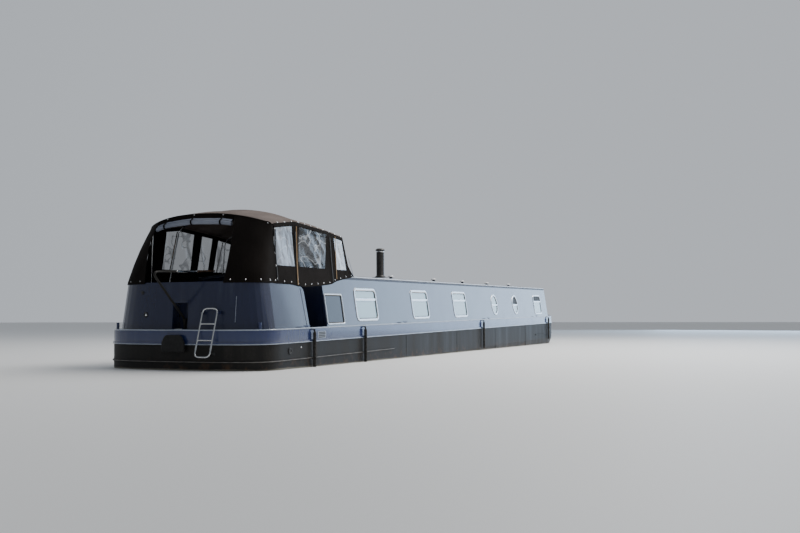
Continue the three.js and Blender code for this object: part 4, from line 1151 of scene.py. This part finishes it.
def side_strip(soup, hand, low, high, half_width, out):
    """A flat tape up the side, from (station, z) to (station, z)."""
    section = ((-half_width, 0), (half_width, 0), (half_width, 0.002), (-half_width, 0.002))
    rows = []
    for k in range(25):
        p = side_point(lerp(low[0], high[0], k / 24), lerp(low[1], high[1], k / 24), hand, out)
        rows.append([p + Vector((dx, hand * dy, 0)) for dx, dy in section])
    soup.rings(rows, keep=hand > 0)


def make_hood_tapes():
    """Tan webbing down the hoops, dark zips beside the windows and a pale strap at the fore corner."""
    for hand, side in ((-1, "starboard"), (1, "port")):
        tan, dark, pale = Soup(), Soup(), Soup()
        side_strip(tan, hand, (-2.275, 2.06), (-2.112, 3.09), 0.016, 0.012)
        side_strip(tan, hand, (-0.745, 2.20), (-0.600, 3.01), 0.014, 0.012)
        for station in (-2.22, -0.88) if hand < 0 else (-1.51, -0.92):
            side_strip(dark, hand, (station - 0.02, 2.14), (station + 0.06, 2.99), 0.012, 0.010)
        side_strip(dark, hand, (-2.945, 2.12), (-2.87, 2.99), 0.010, 0.010)
        side_strip(pale, hand, (0.0, 2.28), (-0.13, 2.62), 0.010, 0.010)
        tan.done(f"hood_webbing_{side}", TAN_WEB, slot="pale_cloth")
        dark.done(f"hood_zips_{side}", "rubber")
        pale.done(f"hood_strap_{side}", "pale_cloth")
        hem = Soup()
        hem.tube([side_surface(hand)(u, 0) for u in lines(0, 7, step=0.2)], 0.005, 8)
        hem.done(f"hood_hem_{side}", BLACK_CLOTH, slot="hood_canvas")


def make_hood():
    corners = {}
    for hand, side in ((-1, "starboard"), (1, "port")):
        make_hood_side(hand, side)
        corners[hand] = make_hood_corner(hand, side)
    sheet("hood_header", header_surface, lines(0, 1, step=0.02), [0, 0.33, 0.67, 1], "hood_canvas")
    make_hood_roof()
    make_hood_front()
    make_hood_studs(corners, make_roll())
    make_hood_tapes()


make_hood()


# Hoops of stainless tube: station of the foot and of the top, half width and height of the foot
HOOPS = {
    "hoop_main": (-2.283, -2.125, 1.318, 2.0813),
    "hoop_fore": (-0.6, -0.6, 1.262, 2.2613),
    "hoop_aft": (-2.8, -2.9, 1.318, 2.1027),
}
HOOP_DROP = 0.034                # of the tube's middle under the cloth
HOOP_FOOT = [(0.026, 0.0), (0.026, 0.006), (0.017, 0.012), (0.017, 0.05), (0.0135, 0.055)]
TUBE_RADIUS = 0.0125             # of the hoops and the ladder


def make_hoop(name, foot, top, foot_y, foot_z):
    half = [
        at(foot, -foot_y, foot_z), at(top, -1.2, eave_at(top) - 0.012),
        at(top, -1.118, eave_at(top) + EDGE_ROLL - HOOP_DROP),
        at(top, -0.74, hood_top(top, 0.78) - HOOP_DROP),
        at(top, -0.34, hood_top(top, 0.42) - HOOP_DROP),
    ]
    other = [Vector((p.x, -p.y, p.z)) for p in reversed(half)]
    soup = Soup()
    soup.tube(rounded_line(half + other, 0.09, 6), TUBE_RADIUS)
    for y in (-foot_y, foot_y):
        soup.lathe(at(foot, y, foot_z), (0, 0, 1), HOOP_FOOT)
    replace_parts(soup.done(name + "_tube", "stainless"), name)


for hoop_name, hoop_row in HOOPS.items():
    make_hoop(hoop_name, *hoop_row)


# Tiller: black neck and arm, bright bar, dark turned grip; its places are (station, height)
TILLER_CLAMP = (-3.62, 1.4403)
TILLER_NECK = (-4.428, 2.188)
TILLER_BEND = (-4.408, 2.246)
TILLER_TIP = (-2.75, 2.313)
BAR_AFT, BAR_FORE = -3.842, -3.285
TILLER_RADIUS = 0.019


def make_tiller():
    clamp_low, low, bend, tip = (at(x, 0, z) for x, z in (TILLER_CLAMP, TILLER_NECK, TILLER_BEND, TILLER_TIP))
    along_bar = (tip - bend).normalized()

    def bar_at(station):
        return bend + along_bar * ((station - TILLER_BEND[0]) / along_bar.x)

    neck, bar, grip = Soup(), Soup(), Soup()
    joint = bar_at(BAR_AFT)
    neck.tube(rounded_line([at(TILLER_CLAMP[0], 0, 1.48), low, bend, joint], 0.06, 6), TILLER_RADIUS, 16)
    neck.lathe(clamp_low, (0, 0, 1), [(0.034, 0.0), (0.036, 0.004), (0.036, 0.056), (0.034, 0.06)], 24)
    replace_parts(neck.done("tiller_neck", "black_hull", "helm"), "tiller")
    bright = (bar_at(BAR_FORE) - joint).length
    bar.lathe(joint, along_bar, [
        (0.019, -0.02), (0.021, -0.015), (0.021, 0.02), (0.0165, 0.03), (0.0165, bright - 0.03),
        (0.020, bright - 0.025), (0.020, bright - 0.005), (0.016, bright),
    ], 20)
    bar.done("tiller_bar", "stainless", "helm")
    reach = (tip - joint).length - bright
    grip.lathe(joint + along_bar * (bright - 0.002), along_bar, [
        (0.012, 0.0), (0.017, 0.004), (0.0185, 0.03), (0.0165, reach * 0.3), (0.0185, reach * 0.6),
        (0.0185, reach * 0.8), (0.0165, reach * 0.93), (0.012, reach * 0.985), (0.004, reach),
    ], 24)
    grip.done("tiller_grip", "wood_varnish", "helm")


make_tiller()


# Boarding ladder; its pivot and foot are (station, height)
LADDER_Y = -0.62
LADDER_HALF = 0.14
LADDER_PIVOT = (-3.822, 1.597)
LADDER_FOOT = (-4.045, 0.894)
LADDER_TOP = 1.663
SLEEVE_Z = 1.045                 # the two halves of the frame meet in sleeves
RUNGS = (1.418, 1.157)


def ladder_spot(z, share):
    """A point at a height, and at a share of the ladder's half width to port."""
    slope = (LADDER_FOOT[0] - LADDER_PIVOT[0]) / (LADDER_FOOT[1] - LADDER_PIVOT[1])
    return at(LADDER_PIVOT[0] + slope * (z - LADDER_PIVOT[1]), LADDER_Y + share * LADDER_HALF, z)


def make_ladder():
    soup = Soup()
    for end in (LADDER_TOP, LADDER_FOOT[1]):
        line = [ladder_spot(z, share) for z, share in ((SLEEVE_Z, -1), (end, -1), (end, 1), (SLEEVE_Z, 1))]
        soup.tube(rounded_line(line, 0.09, 8), TUBE_RADIUS, 14)
    for z in RUNGS:
        soup.tube([ladder_spot(z, -1), ladder_spot(z, 1)], 0.0115, 14)
    for hand in (-1, 1):
        soup.tube([ladder_spot(SLEEVE_Z - 0.04, hand), ladder_spot(SLEEVE_Z + 0.04, hand)], 0.0165, 14)
        pin = ladder_spot(LADDER_PIVOT[1], hand)
        soup.tube([pin, pin + Vector((0, hand * 0.0175, 0))], 0.009, 12)
    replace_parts(soup.done("ladder_tubes", "stainless", "boarding_ladder"), "boarding_ladder")


make_ladder()


# Fenders: a laid rope body between a whipped eye and a knotted tail
FENDER_STATIONS = (-2.15, -0.06, 7.45, 14.6)
FENDER_Y = HALF_BEAM + 0.0483
FENDER_RADIUS = 0.030
FENDER_FOOT = 0.56
FENDER_LENGTH = 0.74
LAYS = 46                        # steps of the rope's lay
# the eye's line: along the boat, towards it, up
FENDER_EYE = [
    (-0.012, 0, -0.02), (-0.024, 0.02, 0.012), (-0.02, 0.05, 0.0225), (0.0, 0.085, 0.026),
    (0.02, 0.05, 0.0225), (0.024, 0.02, 0.012), (0.012, 0, -0.02),
]


def make_fender(name, station, hand):
    soup = Soup()
    profile = [(0.006, 0.0), (0.020, 0.004)]
    for k in range(LAYS):
        profile.append((FENDER_RADIUS - 0.0026 * (k % 2), 0.022 + (FENDER_LENGTH - 0.085) * k / (LAYS - 1)))
    neck = ((0.020, 0.05), (0.013, 0.04), (0.013, 0.012), (0.006, 0.002))
    profile += [(radius, FENDER_LENGTH - below) for radius, below in neck]
    foot = at(station, hand * FENDER_Y, FENDER_FOOT)
    soup.lathe(foot, (0, 0, 1), profile, 14)
    top = foot + Vector((0, 0, FENDER_LENGTH - 0.02))
    eye = [top + Vector((dx, -hand * dy, dz)) for dx, dy, dz in FENDER_EYE]
    soup.tube(rounded_line(eye, 0.02, 3), 0.0055, 8)
    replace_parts(soup.done(name + "_rope", "fender_rope", angle=1.0), name)


for number, fender_station in enumerate(FENDER_STATIONS, 1):
    make_fender(f"fender_starboard_{number}", fender_station, -1)
    make_fender(f"fender_port_{number}", fender_station, 1)
for fender_name, fender_look, fender_bevel in (
        ("stern_fender", BLACK_RUBBER, 0.055), ("bow_fender", LOOKS["fender_rope"], 0.018)):
    skin(fender_name, "_rope", fender_look, 0.02, fender_bevel, 5)


# Chimney: a pipe on a square plate, with a flat cap and a bright band
CHIMNEY_STATION, CHIMNEY_Y = 2.3, -0.9
CHIMNEY_PLATE = 0.13             # half its width
BAND_Z = 0.555
CHIMNEY_PIPE = [
    (0.118, -0.002), (0.120, 0.004), (0.119, 0.02), (0.095, 0.030), (0.0855, 0.045), (0.085, 0.585),
    (0.100, 0.588), (0.104, 0.592), (0.104, 0.608), (0.098, 0.613), (0.070, 0.636), (0.030, 0.640),
]
CHIMNEY_BAND = [(0.0862, 0), (0.0882, 0.003), (0.0882, 0.022), (0.0862, 0.025)]


def make_chimney():
    foot = at(CHIMNEY_STATION, CHIMNEY_Y, roof_z(CHIMNEY_Y) + 0.012)
    pipe, band = Soup(), Soup()
    pipe.lathe(foot, (0, 0, 1), CHIMNEY_PIPE, 40)
    corner = Vector((CHIMNEY_PLATE, CHIMNEY_PLATE, 0))
    pipe.box(foot - corner, foot + corner + Vector((0, 0, 0.006)))
    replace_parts(pipe.done("chimney_pipe", "chimney_paint", angle=0.7), "chimney")
    band.lathe(foot + Vector((0, 0, BAND_Z)), (0, 0, 1), CHIMNEY_BAND, 40)
    band.done("chimney_bands", "stainless")


make_chimney()


# Beads and small fittings on the hull, the bulwark and the cabin
HULL_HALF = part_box("hull")[1][1]
BEAD_FORE = 14.9                 # station where the band's beads end
WELDS = (2.113, 5.400, 8.613, 11.787)
LOUVRE = (-1.930, -1.641, 1.128, 1.250)  # aft and fore station, low and high


def bulwark_spot(y, z, out=0.0):
    """A point of the stern bulwark's outer face, aft of the straight sides."""
    half = cabin_y(z)
    depth = STERN_DEPTH - GUNWALE_WIDTH - lean_at(z) / 2
    station = STERN_START - depth * (1 - (abs(y) / half) ** STERN_POWER) ** (1 / STERN_POWER)
    return at(station - out, y, z)


def stern_line(half, depth, z, fore):
    """Round the stern from the port side to the starboard side, as far forward as fore."""
    line = [at(fore, half, z), at(STERN_START, half, z)]
    for k in range(1, 36):
        a = math.radians(90 - 5 * k)
        share = max(math.cos(a), 0.0) ** (2 / STERN_POWER)
        y = math.copysign(abs(math.sin(a)) ** (2 / STERN_POWER), math.sin(a)) * half
        line.append(at(STERN_START - depth * share, y, z))
    return line + [at(STERN_START, -half, z), at(fore, -half, z)]


def rail_line(name, z, inset, fore):
    """Round the stern along the edge of a rail that is a node."""
    low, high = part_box(name)
    return stern_line(high[1] - inset, STERN_START - (low[0] + MIDSHIP) - inset, z, fore)


def make_beads():
    band, strake, edge, trim = Soup(), Soup(), Soup(), Soup()
    # the gunwale and guard beads are pale: painted highlights on the blue band's edges
    band.tube(stern_line(HALF_BEAM - 0.003, STERN_DEPTH - 0.003, GUNWALE_Z - 0.003, BEAD_FORE), 0.010, 10)
    band.tube(rail_line("guard_rail", GUARD_Z - 0.004, 0.004, BEAD_FORE), 0.008, 8)
    band.done("gunwale_bead", PALE_BLUE, slot="blue_band")
    low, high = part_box("stern_strake")
    strake.tube(rail_line("stern_strake", (low[2] + high[2]) / 2, 0.003, high[0] + MIDSHIP - 0.06), 0.007, 8)
    # the strake bead is pale on a black hull: a painted highlight along the strake's edge
    strake.done("strake_bead", STRAKE_EDGE_HIGHLIGHT, slot="black_hull")
    for hand in (-1, 1):
        y, z = hand * (cabin_y(EAVES_Z) - 0.006), EAVES_Z + 0.004
        edge.tube([at(CABIN_AFT + 0.02, y, z), at(CABIN_FORE - 0.02, y, z)], 0.014, 10)
        post = [(lerp(-2.104, -2.174, k / 12), lerp(1.36, 2.0, k / 12)) for k in range(13)]
        trim.tube([at(station, hand * (cabin_y(z) + 0.002), z) for station, z in post], 0.007, 8)
    # the roof-edge bead is pale paint on a navy cabin: a painted highlight along its edge
    edge.done("roof_edge_bead", ROOF_EDGE_HIGHLIGHT, slot="navy_cabin")
    trim.tube([bulwark_spot(-1.01, lerp(1.44, 1.86, k / 8)) for k in range(9)], 0.0035, 6)
    trim.done("bulwark_trim", PALE_BLUE, slot="navy_cabin")


def make_welds():
    soup = Soup()
    for station in WELDS:
        for y in (0.001 - HULL_HALF, HULL_HALF - 0.001):
            soup.tube([at(station, y, lerp(0.28, 1.06, k / 6)) for k in range(7)], 0.005, 6)
    soup.done("hull_welds", "black_hull")


def make_louvres():
    """A plate on each side of the blue band, with four dark boxes on it: painted shade of its slots."""
    plate, slots = Soup(), Soup()
    aft, fore, foot, head = LOUVRE
    for hand in (-1, 1):
        face = hand * HALF_BEAM
        low, high = sorted((face - hand * 0.002, face + hand * 0.004))
        plate.box(at(aft, low, foot), at(fore, high, head))
        low, high = sorted((face, face + hand * 0.007))
        for k in range(4):
            z = foot + 0.011 + 0.028 * k
            slots.box(at(aft + 0.022, low, z), at(fore - 0.022, high, z + 0.018))
    plate.done("louvre_plates", PALE_BLUE, slot="white_fitting")
    slots.done("louvre_slots", "rubber")


# Small fittings, as distance from and along the axis
DRAIN = [(0.030, 0.0), (0.052, 0.0), (0.056, 0.006), (0.052, 0.014), (0.032, 0.014), (0.026, 0.006)]
PLUG = [(0.016, 0.0), (0.018, 0.005), (0.010, 0.011), (0.003, 0.012)]
LAMP = [(0.030, 0.0), (0.032, 0.004), (0.026, 0.012), (0.010, 0.015)]
SOCKET = [(0.030, 0.0), (0.044, 0.0), (0.046, 0.008), (0.040, 0.014), (0.030, 0.012), (0.027, 0.006)]
SOCKET_PIN = [(0.020, 0.0), (0.020, 0.006), (0.006, 0.010)]
STUB = [(0.026, -0.03), (0.026, 0.022), (0.020, 0.028), (0.006, 0.029)]
STUB_Y, STUB_Z = -0.724, 0.94


def make_fittings():
    bright, dark = Soup(), Soup()
    for hand in (-1, 1):
        y = hand * (HULL_HALF - 0.001)
        dark.lathe(at(-2.924, y, 0.953), (0, hand, 0), DRAIN, 24)
        bright.lathe(at(-2.55, y, 1.005), (0, hand, 0), PLUG, 16)
    lamp, socket = bulwark_spot(0.794, 1.934, -0.001), bulwark_spot(0.699, 1.566, -0.001)
    dark.lathe(lamp, (-1, 0.1, 0), LAMP, 20)
    dark.lathe(socket, (-1, 0.1, 0), SOCKET, 20)
    bright.lathe(socket, (-1, 0.1, 0), SOCKET_PIN, 16)
    depth = STERN_DEPTH * (1 - (abs(STUB_Y) / HALF_BEAM) ** STERN_POWER) ** (1 / STERN_POWER)
    dark.lathe(at(STERN_START - depth + 0.02, STUB_Y, STUB_Z), (-1, -0.1, 0), STUB, 20)
    bright.box(at(-3.772, -0.05, 1.3212), at(-3.745, 0.09, 1.334))
    bright.done("bright_fittings", "stainless")
    dark.done("dark_fittings", "rubber")


VENTS = {-0.68: (0.927, 3.4, 6.2, 8.47, 10.74, 13.1), 0.68: (1.6, 4.6, 7.3, 9.6, 12.0, 13.9)}
VENT_CAP = [
    (0.040, 0.027), (0.071, 0.030), (0.0745, 0.036), (0.0735, 0.043), (0.055, 0.064), (0.030, 0.0735),
    (0.006, 0.0755),
]


def make_vent_caps():
    """Pale caps over the mushroom vents of the roof."""
    soup = Soup()
    for y, stations in VENTS.items():
        for station in stations:
            soup.lathe(at(station, y, roof_z(y)), (0, 0, 1), VENT_CAP, 24)
    soup.done("vent_caps", "white_fitting")


make_beads()
make_vent_caps()
make_welds()
make_louvres()
make_fittings()
